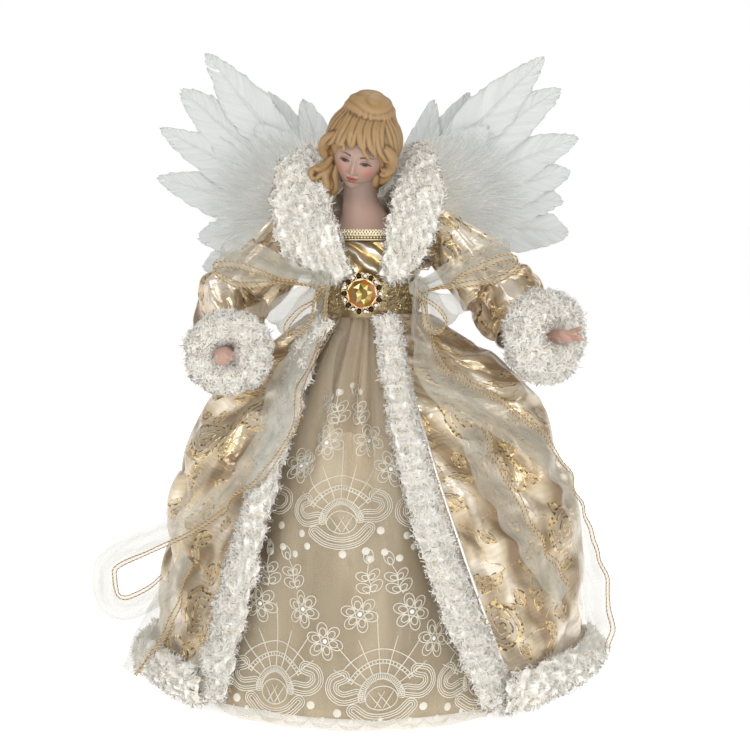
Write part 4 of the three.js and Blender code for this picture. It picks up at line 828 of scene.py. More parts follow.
def fur(name, node, body, seed, count, pile, inset, rise, paint):
    """Curly pile in small tufts with a few glittering threads, on a solid's rounded form drawn up by rise."""
    rng = np.random.default_rng(seed)
    base, triangles, normals = soft_body(node, FUR_VOXEL, FUR_ROUNDING)
    top = base[:, 2].max()
    base[:, 2] += rise * ease((base[:, 2] - top + FUR_RISE_SPAN) / FUR_RISE_SPAN)
    tufts = wobble(base, FUR_TUFT_SIZE, seed, 16)[:, 0]
    lumps = FUR_LUMP * wobble(base, FUR_LUMP_SIZE, seed + 2)[:, 0] + FUR_TUFT * tufts
    base = base + normals * (lumps - inset)[:, None]
    # Painted shade: the pile's foot is darker in the hollows between tufts and paler on their crests
    height = ease(0.55 + 0.5 * tufts)[:, None]
    shell = Shell()
    shell.add(base, [triangles], lerp(np.array(FUR_SHADED_ROOT), np.array(FUR_TIP), height))
    roots, out, pick = scatter(base, triangles, count, rng)
    raised = height[triangles[pick, 0]]
    aim = unit(out + 0.5 * wobble(roots, FUR_CLUMP_SIZE, seed + 1, 16) + 0.35 * rng.normal(size=out.shape))
    length = pile * rng.uniform(0.7, 1.25, count)
    lines, side = hooks(roots, aim, length, FUR_HOOK, FUR_STEPS, rng)
    lines[..., 2] = np.maximum(lines[..., 2], FLOOR_CLEARANCE)
    points, faces = strands(lines, np.broadcast_to(FUR_WIDTHS, (count, FUR_STEPS)), side, 0.8)
    # Painted shade: strands that root in hollows are darker; each also differs a little at random
    shade = lerp(0.86, 1.0, raised[:, 0]) * rng.uniform(0.97, 1.04, count)
    shell.add(points, faces, strand_tints(FUR_SHADED_ROOT, FUR_TIP, FUR_STEPS, shade))
    soft = unit(out[:, None] + 0.3 * unit(points - roots[:, None] + out[:, None] * 0.1))
    threads = int(count * TINSEL_SHARE)
    roots, out, _ = scatter(base, triangles, threads, rng)
    aim = unit(out + 0.9 * rng.normal(size=out.shape))
    lines, side = curls(roots, aim, pile * rng.uniform(0.9, 1.5, threads), pile * 0.35, 3.0, FUR_STEPS, rng)
    lines[..., 2] = np.maximum(lines[..., 2], FLOOR_CLEARANCE)
    points, faces = strands(lines, np.full((threads, FUR_STEPS), TINSEL_WIDTH), side, 0.7)
    metal = np.where(rng.random((threads, 1)) < 0.65, np.array([GOLD]), np.array([DARK_GOLD]))
    metal = np.concatenate([metal, np.zeros((threads, 1))], axis=1)
    shell.add(points, faces, np.repeat(metal, points.shape[1], axis=0))
    obj = place(shell.object(name), body, paint, "fur", node)
    plain = arrays(obj.data)[2]
    plain[len(base):len(base) + count * soft.shape[1]] = soft.reshape(-1, 3)
    obj.data.normals_split_custom_set_from_vertices(plain)
    return obj


PROBES = 120


def skirt_grid(node, right, left, top, bottom, rows, columns, calm):
    """Even grid on a skirt's outer skin, from its right edge round to its left one.

    An edge is a pair of angles in degrees, at the top and at the hem.
    """
    probe = np.linspace(top, bottom, PROBES)
    middle = math.radians((right[1] + left[1]) / 2)
    profile = skin_radius(node, np.full((PROBES, 1), middle), probe[:, None])[:, 0]
    gone = np.concatenate([[0], np.cumsum(np.hypot(np.diff(profile), np.diff(probe)))])
    heights = np.interp(np.linspace(0, gone[-1], rows), gone, probe)
    t = ((top - heights) / (top - bottom))[:, None]
    s = np.linspace(0, 1, columns)[None]
    angles = np.radians(lerp(lerp(right[0], right[1], t), lerp(left[0], left[1], t), s))
    heights = np.broadcast_to(heights[:, None], angles.shape)
    radius = soften(skin_radius(node, angles, heights), calm, 1)
    return angles, soften(radius, 3, 0), heights, s, t


COAT_ROWS, COAT_COLUMNS = 76, 220
COAT_TOP, COAT_BOTTOM = 215.6, 15.5
COAT_RIGHT_EDGE = (-36, -42)
COAT_LEFT_EDGE = (14 - 360, 33 - 360)
# Creases that run down and outwards
SLANT = np.array([[0.8, 0.25], [0.6, 0.25]])
COAT_GROWTH = 0.03
COAT_GIRTH, COAT_LENGTH = 110, 210
PIPING_RADIUS, PIPING_STANDOFF = 1.3, 2.0


def coat_skirt(paint, piping_paint):
    """The coat's skirt: brocade gathered at the waist and creased, with a cord along its front edge."""
    angles, radius, heights, s, t = skirt_grid(
        "coat_skirt", COAT_RIGHT_EDGE, COAT_LEFT_EDGE, COAT_TOP, COAT_BOTTOM, COAT_ROWS, COAT_COLUMNS, 6
    )
    flat = np.stack([angles * COAT_GIRTH, np.broadcast_to(t * COAT_LENGTH, angles.shape)], axis=-1)
    hold = ease(t * 6) * ease((1 - t) * 9) * ease(s * 14) * ease((1 - s) * 14)
    drapes = wobble(flat * np.array([1, 0.2]), 26, 11)[..., 0] * 2.4
    drapes = drapes + wobble(flat @ SLANT, 24, 12)[..., 0] * 0.9
    gathers = np.sin(angles * 46 + 3 * np.sin(angles * 5)) * 1.1 * bell(t, 0.05, 0.12)
    grid = polar(angles, radius - 0.6 + hold * drapes + gathers, heights)
    obj = cloth_object("coat_skirt_brocade", grid)
    index = np.arange(COAT_ROWS * COAT_COLUMNS).reshape(COAT_ROWS, COAT_COLUMNS)
    borders = (index[:2], index[-2:], index[:, :3], index[:, -3:])
    pins = np.concatenate([border.ravel() for border in borders])
    drape(obj, np.unique(pins), 34, COAT_GROWTH, 0.35, 0.05, grid.shape)
    heavy(obj)
    place(obj, "figure", paint, "brocade", "coat_skirt")
    edge = even_path(grid[8:, -6], 150) - np.array([0.0, PIPING_STANDOFF, 0.0])
    shell = Shell()
    shell.add(*tube(edge, PIPING_RADIUS, 10), tint=IVORY)
    piping = place(shell.object("coat_edge_piping"), "figure", piping_paint, "satin")


def tube_cloth(name, path, radius, rows, columns, seed, ripple):
    """Cloth tube along a path, closed round, with its real size as a map."""
    line = even_path(path, rows)
    _, side, out = frames(line)
    share = np.linspace(0, 1, rows)
    girth = soften(np.interp(share, np.linspace(0, 1, len(radius)), radius), 4, 0)
    angle = np.arange(columns) / columns * TURN
    round_x, round_y = np.cos(angle), np.sin(angle)
    flat = np.broadcast_arrays(round_x[None] * 18, round_y[None] * 18, share[:, None] * 70)
    creases = wobble(np.stack(flat, axis=-1), 17, seed)[..., 0]
    swell = girth[:, None] + ripple * creases * ease(share * 5)[:, None] * ease((1 - share) * 6)[:, None]
    grid = line[:, None] + side[:, None] * (swell * round_x)[..., None]
    grid = grid + out[:, None] * (swell * round_y)[..., None]
    shell = Shell()
    shell.add(grid, [grid_faces(rows, columns, True)])
    obj = shell.object(name)
    step = path_length(line) / (rows - 1)
    i, j = np.meshgrid(np.arange(rows - 1), np.arange(columns), indexing="ij")
    corners = [(i, j), (i, j + 1), (i + 1, j + 1), (i + 1, j)]
    around = TURN * girth.mean() / columns
    both = np.stack([np.stack([c * around, r * step], -1) for r, c in corners], axis=2) * MM
    layer = obj.data.uv_layers.new(name="Cloth")
    layer.data.foreach_set("uv", both.astype(np.float32).ravel())
    return obj, grid


SHOULDER_HEIGHT = 258
SHOULDER_SPREAD = 45.3
ELBOW = {"right": (-34, -8, -36), "left": (33, -8, -30)}
WRIST = {"right": (-30, -48, -61), "left": (38.5, -34, -55)}
SLEEVE_GIRTH = (11, 15, 18.5, 20.5, 21.5, 21, 18.5, 14.5, 11)
SLEEVE_ROWS, SLEEVE_COLUMNS = 64, 90
SLEEVE_GROWTH = 0.1
# The armhole's place from the shoulder, and where the bending cloth starts and ends
ARMHOLE_IN, ARMHOLE_RISE = 15, 2
BEND_IN, BEND_SHARE = 12, 0.35


def sleeve(side, paint):
    """A puffed sleeve from the armhole to the cuff, creased at the elbow."""
    way = SIDES[side]
    pivot = np.array([way * SHOULDER_SPREAD, 0, SHOULDER_HEIGHT])
    elbow, wrist = np.array(ELBOW[side]), np.array(WRIST[side])
    inner = np.array([-way * ARMHOLE_IN, 0, ARMHOLE_RISE])
    bends = [inner, 0 * elbow, elbow * 0.5, elbow, lerp(elbow, wrist, 0.55), wrist]
    path = smooth_path([pivot + bend for bend in bends], 90)
    name = f"{side}_sleeve_brocade"
    obj, grid = tube_cloth(name, path, SLEEVE_GIRTH, SLEEVE_ROWS, SLEEVE_COLUMNS, 21 + way, 1.6)
    index = np.arange(SLEEVE_ROWS * SLEEVE_COLUMNS).reshape(SLEEVE_ROWS, SLEEVE_COLUMNS)
    pins = np.concatenate([index[:6].ravel(), index[-3:].ravel()])
    drape(obj, pins, 26, SLEEVE_GROWTH, 0.25, 0.1, grid.shape, True)
    heavy(obj)
    start = pivot + np.array([-way * BEND_IN, 0, ARMHOLE_RISE])
    end = pivot + elbow * BEND_SHARE
    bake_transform(obj, "figure", f"{side}_arm", start * MM, end * MM)
    place(obj, f"{side}_arm", paint, "brocade", f"{side}_sleeve")


UNDERSKIRT_TOP, UNDERSKIRT_HEM = 205, 2.2


def underskirt(paint):
    """Satin lining over the cone."""
    whole = (-180, -180), (180, 180)
    ends = (UNDERSKIRT_TOP, UNDERSKIRT_HEM)
    angles, radius, heights, _, t = skirt_grid("underskirt", *whole, *ends, 40, 160, 4)
    ripples = np.sin(angles * 12 + 2 * np.sin(angles * 3)) * 1.2 * t
    ripples = ripples - FRONT_CREASE * bell(angles, 0, 0.9) * bell(t, 0.16, 0.24)
    obj = cloth_object("underskirt_satin", polar(angles, radius + ripples - 0.8, heights), LINING_THICKNESS)
    place(obj, "figure", paint, "satin", "underskirt")


PANEL_ROWS, PANEL_COLUMNS = 150, 190
PANEL_RIGHT, PANEL_LEFT, PANEL_GATHERED = -55, 47, 0.8
PANEL_TOP, PANEL_HEM = 215.4, 1.6
FRONT_CREASE = 9
EMBROIDERED = 196
SCALLOP, SCALLOP_SPAN = 15.5, (-116, 112)
THREAD = 0.3


class Panel:
    """The organza panel as a surface: points by distance across from its middle line and up from its hem."""

    def __init__(self):
        right, left = ((edge * PANEL_GATHERED, edge) for edge in (PANEL_RIGHT, PANEL_LEFT))
        angles, radius, heights, s, t = skirt_grid(
            "lace_skirt_front", right, left, PANEL_TOP, PANEL_HEM, PANEL_ROWS, PANEL_COLUMNS, 26
        )
        across = 2 * s - 1
        lean = across + 0.1 * np.sin(3 * t)
        flat = np.stack(np.broadcast_arrays(lean * 85, t * 60), axis=-1)
        deep = np.sin(lean * 10 + 1.6 * np.sin(lean * 3.1 + 0.6)) * bell(t, 0.24, 0.3) * 3.0
        low = wobble(flat, 34, 55)[..., 0] * ease(t * 1.8 - 0.4) * 1.5
        crease = -FRONT_CREASE * bell(lean + 0.06 + 0.1 * t, 0.0, 0.05 + 0.05 * t) * bell(t, 0.16, 0.2)
        line = bell(lean - 0.16 - 0.2 * t, 0.0, 0.04 + 0.05 * t)
        crease += -0.5 * FRONT_CREASE * line * bell(t, 0.22, 0.24)
        hem_lift = (bell(across, -1, 0.3) + bell(across, 1, 0.3)) * 8 * ease(t * 2 - 1)
        self.grid = polar(angles, radius + deep + low + crease - 0.3, heights + hem_lift)
        self.row_lengths = np.linalg.norm(np.diff(self.grid, axis=1), axis=2).sum(1)
        middle = self.grid[:, PANEL_COLUMNS // 2]
        self.rise = distances(middle[::-1])[::-1]
        down = np.gradient(self.grid, axis=0)
        side = np.gradient(self.grid, axis=1)
        self.normals = unit(np.cross(side, -down))

    def holds(self, across, up):
        """Whether places lie within the panel's edges and below its gathers."""
        wide = np.interp(-up, -self.rise, self.row_lengths)
        return bool((np.abs(across) < wide / 2 - 2).all() and (up < EMBROIDERED).all() and (up > 0.6).all())

    def at(self, across, up, lift=0.0):
        """Points on the panel, raised from it by lift."""
        row = np.interp(-np.asarray(up), -self.rise, np.arange(PANEL_ROWS))
        wide = np.interp(row, np.arange(PANEL_ROWS), self.row_lengths)
        column = np.clip((across / wide + 0.5) * (PANEL_COLUMNS - 1), 0, PANEL_COLUMNS - 1.001)
        row = np.clip(row, 0, PANEL_ROWS - 1.001)
        i, j = row.astype(int), column.astype(int)
        a, b = (row - i)[..., None], (column - j)[..., None]
        found = []
        for field in (self.grid, self.normals):
            top = lerp(field[i, j], field[i, j + 1], b)
            bottom = lerp(field[i + 1, j], field[i + 1, j + 1], b)
            found.append(lerp(top, bottom, a))
        return found[0] + found[1] * lift


def arc(x, y, rx, ry, start, end, count=22):
    angle = np.radians(np.linspace(start, end, count))
    return np.stack([x + rx * np.cos(angle), y + ry * np.sin(angle)], axis=1)


def turned(lines, x, y, degrees=0.0, scale=1.0, mirror=1):
    """Stitch lines moved to a place, turned, scaled and mirrored."""
    c, s = math.cos(math.radians(degrees)), math.sin(math.radians(degrees))
    moved = []
    for line in lines:
        across, up = line.T
        sideways = x + scale * mirror * (across * c - up * s)
        moved.append(np.stack([sideways, y + scale * (across * s + up * c)], axis=1))
    return moved


def rays(degrees, inner, outer, count=2):
    """A straight stitch at each angle, out from a centre."""
    lines = []
    for angle, reach in zip(np.radians(degrees), np.broadcast_to(outer, len(degrees))):
        aim = np.array([math.cos(angle), math.sin(angle)])
        lines.append(aim * np.linspace(inner, reach, count)[:, None])
    return lines


def petal(length, width):
    """A leaf-shaped outline that starts and ends at its foot."""
    t = np.linspace(0, math.pi, 12)
    half = np.stack([width * np.sin(t), length * (1 - np.cos(t)) / 2], axis=1)
    return np.concatenate([half, half[-2::-1] * np.array([-1, 1])])


def flower():
    """Six double-lined petals about a ring."""
    lines = [arc(0, 0, 2.0, 2.0, 0, 360, 14)]
    for k in range(6):
        for size in (1.0, 0.62):
            lines += turned([petal(6.4 * size, 2.4 * size) + np.array([0, 2.4])], 0, 0, 60 * k)
    return lines


def sprig():
    """A short stem with paired double-lined leaves."""
    stem = smooth_path([(0, 0), (1.2, 4), (0.4, 8), (1.6, 13)], 12)
    lines = [stem]
    for k, y in enumerate((1.5, 6.5)):
        for way in (-1, 1):
            for size in (1.0, 0.55):
                lines += turned([petal(6.2 * size, 2.0 * size)], 0.8, y, -58 * way, 1.0 - 0.1 * k)
    return lines + turned([petal(6.0, 2.0), petal(3.2, 1.0)], *stem[-1], -8)


def stadium(stations, offset):
    """A closed outline at an offset round a curved middle line."""
    path = smooth_path(stations, 16)
    along = unit(np.gradient(path, axis=0))
    side = np.stack([-along[:, 1], along[:, 0]], axis=1) * offset
    cap = np.radians(np.linspace(80, -80, 7))[:, None]
    end = path[-1] + side[-1] * np.sin(cap) + along[-1] * offset * np.cos(cap)
    start = path[0] - side[0] * np.sin(cap) - along[0] * offset * np.cos(cap)
    return np.concatenate([path + side, end, (path - side)[::-1], start, (path + side)[:1]])


SCROLL = ((13.5, 2.2), (21, 1.2), (26, 5), (25.2, 10.5), (20, 12.8))
BOAT = ((-15.5, -5.5), (-9, -11), (0, -13), (9, -11), (15.5, -5.5))
FAN_DOTS = ((-24, -6.5), (22, -7.5), (0, -19), (13, -18))
FAN_FLOWERS = ((-9.5, 46), (19, 44.5), (31.5, 27))
FLOWER_SIZE, SPRIG_SIZE = 1.18, 1.35
FAN_SPRIGS = ((-4, 56, 10, 1), (15, 55, -16, -1))
FAN_BEADS = ((6, 79), (-2, 76), (14, 75), (23, 80))
# Arches over a fan's foot: reach and half spread in degrees
FAN_ARCHES = ((9.2, 96), (12.4, 96), (17.8, 62), (19.8, 62), (25.5, 50))
FAN_RAYS = (30, 38, 34, 47, 34, 38, 30)
NET_LINES = (-4.5, 0.5)
SCROLL_LINES, BOAT_LINES = (1.1, 2.3, 3.5), (0.9, 2.1, 3.3)


def fan():
    """A shell: a netted oval, a ring of stitches, arches, rays, and scrolls and a boat round its foot."""
    lines = [arc(0, -1, 8.8, 6.4, 0, 360, 28)]
    for foot in NET_LINES:
        for way in (-1, 1):
            lines.append(np.array([(way * foot, -6.5), (way * (foot + 6.5), 2.5)]))
    lines += rays(np.linspace(-8, 188, 37), 9.2, 12.2)
    for reach, spread in FAN_ARCHES:
        lines.append(arc(0, 0, reach, reach, 90 - spread, 90 + spread, 28))
    lines += rays(np.linspace(30, 150, 21), 17.8, 19.8)
    lines += rays(np.linspace(34, 146, len(FAN_RAYS)), 12.4, FAN_RAYS, 6)
    for offset in SCROLL_LINES:
        for way in (-1, 1):
            lines += turned([stadium(SCROLL, offset)], 0, 0, mirror=way)
    return lines + [stadium(BOAT, offset) for offset in BOAT_LINES]


FAN_PLACES = ((-106, 18), (-45, 18), (16, 18), (77, 18), (-71, 115), (-10, 115), (51, 115))
FAN_LEAN = 5
HIGH_FLOWERS = ((-38, 146, 0.9), (-30, 184, 0.8))
DOT_SIDES = 10
DOT_RADIUS, BEAD_RADIUS, SEQUIN_RADIUS, HIGH_SEQUIN_RADIUS = 2.3, 2.1, 1.3, 1.2
DOT_HEIGHT, SEQUIN_HEIGHT = 0.45, 0.9


def dome(shell, panel, x, y, radius, height, tint):
    """A small raised dot on the panel."""
    ring = np.arange(DOT_SIDES)
    turn = ring / DOT_SIDES * TURN
    rim = panel.at(x + radius * np.cos(turn), y + radius * np.sin(turn), 0.1)
    shoulder = panel.at(x + 0.6 * radius * np.cos(turn), y + 0.6 * radius * np.sin(turn), height * 0.8)
    top = panel.at(np.array([x]), np.array([y]), height)
    point = np.full(DOT_SIDES, 2 * DOT_SIDES)
    crown = np.stack([DOT_SIDES + ring, DOT_SIDES + (ring + 1) % DOT_SIDES, point], axis=1)
    shell.add(np.concatenate([rim, shoulder, top]), [grid_faces(2, DOT_SIDES, True), crown], tint)


def lace_stitches():
    """The embroidery's lines, dots and sequins, by distance from the panel's middle and up from its hem."""
    lines, dots, sequins = [], [], []
    for x, y in FAN_PLACES:
        def around(places):
            return turned([np.array(places)], x, y, FAN_LEAN)[0]

        lines += turned(fan(), x, y, FAN_LEAN)
        dots += [(*place, DOT_RADIUS) for place in around(FAN_DOTS)]
        dots += [(*place, BEAD_RADIUS) for place in around(FAN_BEADS)]
        for place in around(FAN_FLOWERS):
            lines += turned(flower(), *place, 15, FLOWER_SIZE)
            sequins.append((*place, SEQUIN_RADIUS))
        for across, up, angle, way in FAN_SPRIGS:
            lines += turned(sprig(), *around([(across, up)])[0], angle, SPRIG_SIZE, way)
    for x, y, size in HIGH_FLOWERS:
        lines += turned(flower(), x, y, 10, size)
        sequins.append((x, y, HIGH_SEQUIN_RADIUS))
    for x in np.arange(*SCALLOP_SPAN, SCALLOP) + SCALLOP / 2:
        for drop in (0, 1.7):
            lines.append(arc(x, 5.6 - drop * 0.3, SCALLOP / 2, 4.6 - drop, 180, 360, 16))
        dots.append((x, 5.4, SEQUIN_RADIUS))
    return lines, dots, sequins


def lace_panel(organza, thread_paint):
    """Sheer organza with raised embroidery in ivory thread, sequins and a scalloped border."""
    panel = Panel()
    obj = cloth_object("lace_panel_organza", panel.grid)
    place(obj, "figure", organza, "organza", "lace_skirt_front")
    lines, dots, sequins = lace_stitches()
    shell = Shell()
    for line in lines:
        if panel.holds(line[:, 0], line[:, 1]):
            path = panel.at(line[:, 0], line[:, 1], THREAD * 0.9)
            shell.add(*tube(path, THREAD, 5, up=(0, -1, 0.1)), tint=IVORY)
    for marks, height, tint in ((dots, DOT_HEIGHT, IVORY), (sequins, SEQUIN_HEIGHT, WHITE)):
        for x, y, radius in marks:
            if panel.holds(np.array([x]), np.array([y])):
                dome(shell, panel, x, y, radius, height, tint)
    stitches = place(shell.object("lace_embroidery"), "figure", thread_paint, "organza")


BODICE_CUT = (0.085, 0.045)
COAT_BODICE_CUT = (0.17, 0.05)
BODICE_CUT_AREA = 0.0026
COAT_BODICE_CUT_AREA = 0.0062


def bodice(lame, brocade):
    """The lame front panel, and the coat's bodice round the back and sides."""
    for name, node, right, left, paint, slot, cut, area in (
        ("bodice_lame", "bodice_panel", -56, 56, lame, "lame", BODICE_CUT, BODICE_CUT_AREA),
        (
            "coat_bodice_brocade", "coat_bodice", 42, 318, brocade, "brocade",
            COAT_BODICE_CUT, COAT_BODICE_CUT_AREA,
        ),
    ):
        lo, hi = solid_box(node)
        edges = (right, right), (left, left)
        angles, radius, heights, _, _ = skirt_grid(node, *edges, hi[2] - 0.5, lo[2] + 0.5, 30, 90, 5)
        folds = wobble(np.stack([angles * 26, heights * 0.6], axis=-1), 9, 31)[..., 0] * 0.45
        obj = cloth_object(name, polar(angles, radius + folds, heights), LINING_THICKNESS)
        place(obj, "figure", paint, slot, node)


BELT_ROWS, BELT_COLUMNS = 10, 130
BELT_LINING, BELT_THICKNESS = 4.0, 2.0
BELT_GROUND = (0.40, 0.31, 0.17)
FLAKES, FLAKE = 5200, 0.55
FLAKE_CORNERS = ((1, 1, 1), (1, -1, -1), (-1, 1, -1), (-1, -1, 1))
FLAKE_FACES = ((0, 1, 2), (0, 2, 3), (0, 3, 1), (1, 3, 2))
FLAKE_TINT = (0.95, 0.80, 0.52)
# Share of the flakes that are much darker, and how dark they are
DARK_FLAKE_SHARE, DARK_FLAKE = 0.45, 0.16


def spins(turns):
    """Rotation matrices of unit quaternions."""
    w, x, y, z = turns.T
    rows = (
        (1 - 2 * (y * y + z * z), 2 * (x * y - z * w), 2 * (x * z + y * w)),
        (2 * (x * y + z * w), 1 - 2 * (x * x + z * z), 2 * (y * z - x * w)),
        (2 * (x * z - y * w), 2 * (y * z + x * w), 1 - 2 * (x * x + y * y)),
    )
    return np.stack([np.stack(row, -1) for row in rows], axis=1)


def belt(paint):
    """A belt crusted with glitter, over its lining."""
    rng = np.random.default_rng(41)
    lo, hi = solid_box("waist_belt")
    angles = np.broadcast_to(np.arange(BELT_COLUMNS) / BELT_COLUMNS * TURN, (BELT_ROWS, BELT_COLUMNS))
    heights = np.broadcast_to(np.linspace(hi[2] - 0.3, lo[2] + 0.3, BELT_ROWS)[:, None], angles.shape)
    radius = soften(skin_radius("waist_belt", angles, heights), 3, 1, True)
    outer = polar(angles, radius, heights)
    lining = np.where(heights < heights[-2], heights - BELT_LINING, heights)
    inner = polar(angles, radius - BELT_THICKNESS, lining)
    wall = np.concatenate([outer, inner[::-1], outer[:1]])
    shell = Shell()
    shell.add(wall, [grid_faces(len(wall), BELT_COLUMNS, True)], BELT_GROUND)
    angle = rng.uniform(0, TURN, FLAKES)
    height = rng.uniform(lo[2], hi[2], FLAKES)
    row = np.rint((hi[2] - height) / (hi[2] - lo[2]) * (BELT_ROWS - 1)).astype(int)
    column = np.rint(angle / TURN * BELT_COLUMNS).astype(int) % BELT_COLUMNS
    seat = polar(angle, radius[row, column] + 0.1, height)
    corners = np.array(FLAKE_CORNERS) / math.sqrt(3)
    turned_corners = np.einsum("nij,kj->nki", spins(unit(rng.normal(size=(FLAKES, 4)))), corners)
    flakes = seat[:, None] + turned_corners * rng.uniform(0.5, 1.1, (FLAKES, 1, 1)) * FLAKE
    faces = np.array(FLAKE_FACES)[None] + (np.arange(FLAKES) * 4)[:, None, None]
    # Some flakes are much darker; the rest differ in brightness at random
    dark_flakes = rng.random((FLAKES, 1)) < DARK_FLAKE_SHARE
    shade = np.where(dark_flakes, DARK_FLAKE, rng.uniform(0.5, 1.3, (FLAKES, 1))) * np.array([FLAKE_TINT])
    shell.add(flakes, [faces.reshape(-1, 3)], np.repeat(shade, 4, axis=0))
    place(shell.object("glitter_belt", smooth=False), "figure", paint, "glitter", "waist_belt")


STONE_SIDES = 8
FORWARD = np.array([0, -1.0, 0])


def stone(shell, centre, rings, top, bottom, tint):
    """A cut stone that faces forward: rings of corners, by radius, height and turn, closed by points."""
    first = unit(np.cross(FORWARD, (0.2, 0.1, 1)))
    second = np.cross(FORWARD, first)
    sides = STONE_SIDES
    rows = []
    for radius, height, turn in rings:
        angle = ((np.arange(sides) + turn) / sides * TURN)[:, None]
        rows.append(centre + FORWARD * height + radius * (np.cos(angle) * first + np.sin(angle) * second))
    points = np.concatenate(rows + [[centre + FORWARD * top], [centre + FORWARD * bottom]])
    ring = np.arange(sides)
    after = (ring + 1) % sides
    faces = []
    for k in range(len(rings) - 1):
        a, b = k * sides, (k + 1) * sides
        faces.append(np.stack([a + ring, b + ring, a + after], -1))
        faces.append(np.stack([a + after, b + ring, b + after], -1))
    last = (len(rings) - 1) * sides
    hub = len(rings) * sides
    faces.append(np.stack([ring, after, np.full(sides, hub)], -1))
    faces.append(np.stack([last + after, last + ring, np.full(sides, hub + 1)], -1))
    corners = np.concatenate(faces)
    shade = np.repeat(np.broadcast_to(tint, (len(corners), 3)), 3, axis=0)
    shell.add(points[corners.ravel()], [np.arange(corners.size).reshape(-1, 3)], shade)


GEM_FACETS, GEM_CROWN, GEM_GIRDLE = 64, 16, 48
# A gem's rings: radius, depth below its face and turn; its last ring lies on its seat
GEM_RINGS = ((3.4, 0, 0), (6.2, 1.0, 0.5), (8.3, 2.8, 0))
GEM_SEAT = (7.6, 0.6, 0.5)
# Painted glints: each facet takes a random dark or bright amber tint, and the rim's facets random deeper
# orange and brown ones
GEM_GLINTS = (
    (0.10, 0.06, 0.008), (0.30, 0.21, 0.03), (0.80, 0.66, 0.20), (0.45, 0.30, 0.05), (0.16, 0.09, 0.01),
)
GEM_RIM_GLINTS = ((0.34, 0.10, 0.012), (0.14, 0.055, 0.008), (0.24, 0.11, 0.015))
# Crystals: clear, with every second one painted dark as a painted reflection
STONE_CLEAR_AND_DARK_REFLECTION = ((0.95, 0.96, 0.98), (0.05, 0.045, 0.04))
STONE_COUNT = 18
STONE_CIRCLE = 10.3
STONE_RADIUS = 1.75
STONE_CUT = ((STONE_RADIUS * 0.5, 1.3, 0), (STONE_RADIUS, 0.4, 0.5), (STONE_RADIUS * 0.9, -0.5, 0))
STONE_TOP, STONE_BOTTOM = 1.3, -0.9
CLAW_REACH = 1.5
CLAW_DEPTHS, CLAW_RADII = (2.4, 0.8, 0, -0.25), (0.5, 0.5, 0.42, 0.15)


def brooch(amber, crystal, metal):
    """A faceted amber stone in a claw cup, ringed with small crystals."""
    lo, hi = solid_box("brooch_gem")
    seat = np.array([(lo[0] + hi[0]) / 2, hi[1], (lo[2] + hi[2]) / 2])
    deep = hi[1] - lo[1]
    gem = Shell()
    rings = [(radius, deep - below, turn) for radius, below, turn in GEM_RINGS] + [GEM_SEAT]
    rng = np.random.default_rng(47)
    # Painted glints: random tints for the facets
    glints = np.array(GEM_GLINTS)[rng.integers(0, len(GEM_GLINTS), GEM_FACETS)]
    rim = np.array(GEM_RIM_GLINTS)[rng.integers(0, len(GEM_RIM_GLINTS), GEM_FACETS)]
    outer = (np.arange(GEM_FACETS) >= GEM_CROWN) & (np.arange(GEM_FACETS) < GEM_GIRDLE)
    stone(gem, seat, rings, deep, 0.2, np.where(outer[:, None], rim, glints))
    place(gem.object("brooch_amber", smooth=False), "figure", amber, "amber", "brooch_gem")
    crystals, claws = Shell(), Shell()
    front = solid_box("brooch_stone_ring")[0, 1]

    def on_ring(angle, reach, depth):
        return np.array([seat[0] + reach * math.cos(angle), front + depth, seat[2] + reach * math.sin(angle)])

    for k in range(STONE_COUNT):
        angle = k / STONE_COUNT * TURN
        centre = on_ring(angle, STONE_CIRCLE, 1.4)
        # Every second crystal is painted dark, a painted reflection
        stone(crystals, centre, STONE_CUT, STONE_TOP, STONE_BOTTOM, STONE_CLEAR_AND_DARK_REFLECTION[k % 2])
        angle += TURN / STONE_COUNT / 2
        for reach in (STONE_CIRCLE - CLAW_REACH, STONE_CIRCLE + CLAW_REACH):
            claw = np.array([on_ring(angle, reach, 1.0 + depth) for depth in CLAW_DEPTHS])
            claws.add(*tube(claw, np.array(CLAW_RADII), 6), tint=GOLD)
    stones = crystals.object("brooch_crystals", smooth=False)
    place(stones, "figure", crystal, "rhinestone", "brooch_stone_ring")
    place(claws.object("brooch_claws"), "figure", metal, "brooch_metal")


BARB_STEPS = 7
BARB_SPACING = 0.75
VANE_THICKNESS = 0.22
FEATHER_PARTED = 0.15
VANE_FULL = 1.6
VANE_SPREAD, LOW_VANE_SPREAD = 1.7, 2.0
FEATHER_SHAFT = (0.62, 0.60, 0.54)
FEATHER_VANE = (0.47, 0.482, 0.474)
DOWN_WARM = (0.68, 0.64, 0.54)
DOWN_WHITE = (0.56, 0.57, 0.55)
DOWN_BARBS = 70
DOWN_STEPS = 5
DOWN_WIDTHS = (0.17, 0.2, 0.18, 0.14, 0.08)
SHAFT_STEPS, SHAFT_ROOT, SHAFT_TIP = 24, 0.62, 0.13


def feather_frame(node, hinge):
    """Root, tip, way across, way out and half width of a feather's solid."""
    points = arrays(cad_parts[node].data)[0]
    centre = points.mean(0)
    axes = np.linalg.svd(points - centre)[2]
    along, _, out = axes
    if along @ (centre - hinge) < 0:
        along = -along
    if out[1] > 0:
        out = -out
    across = np.cross(out, along)
    reach = (points - centre) @ along
    half = np.ptp((points - centre) @ across) / 2
    return centre + along * reach.min(), centre + along * reach.max(), across, out, half


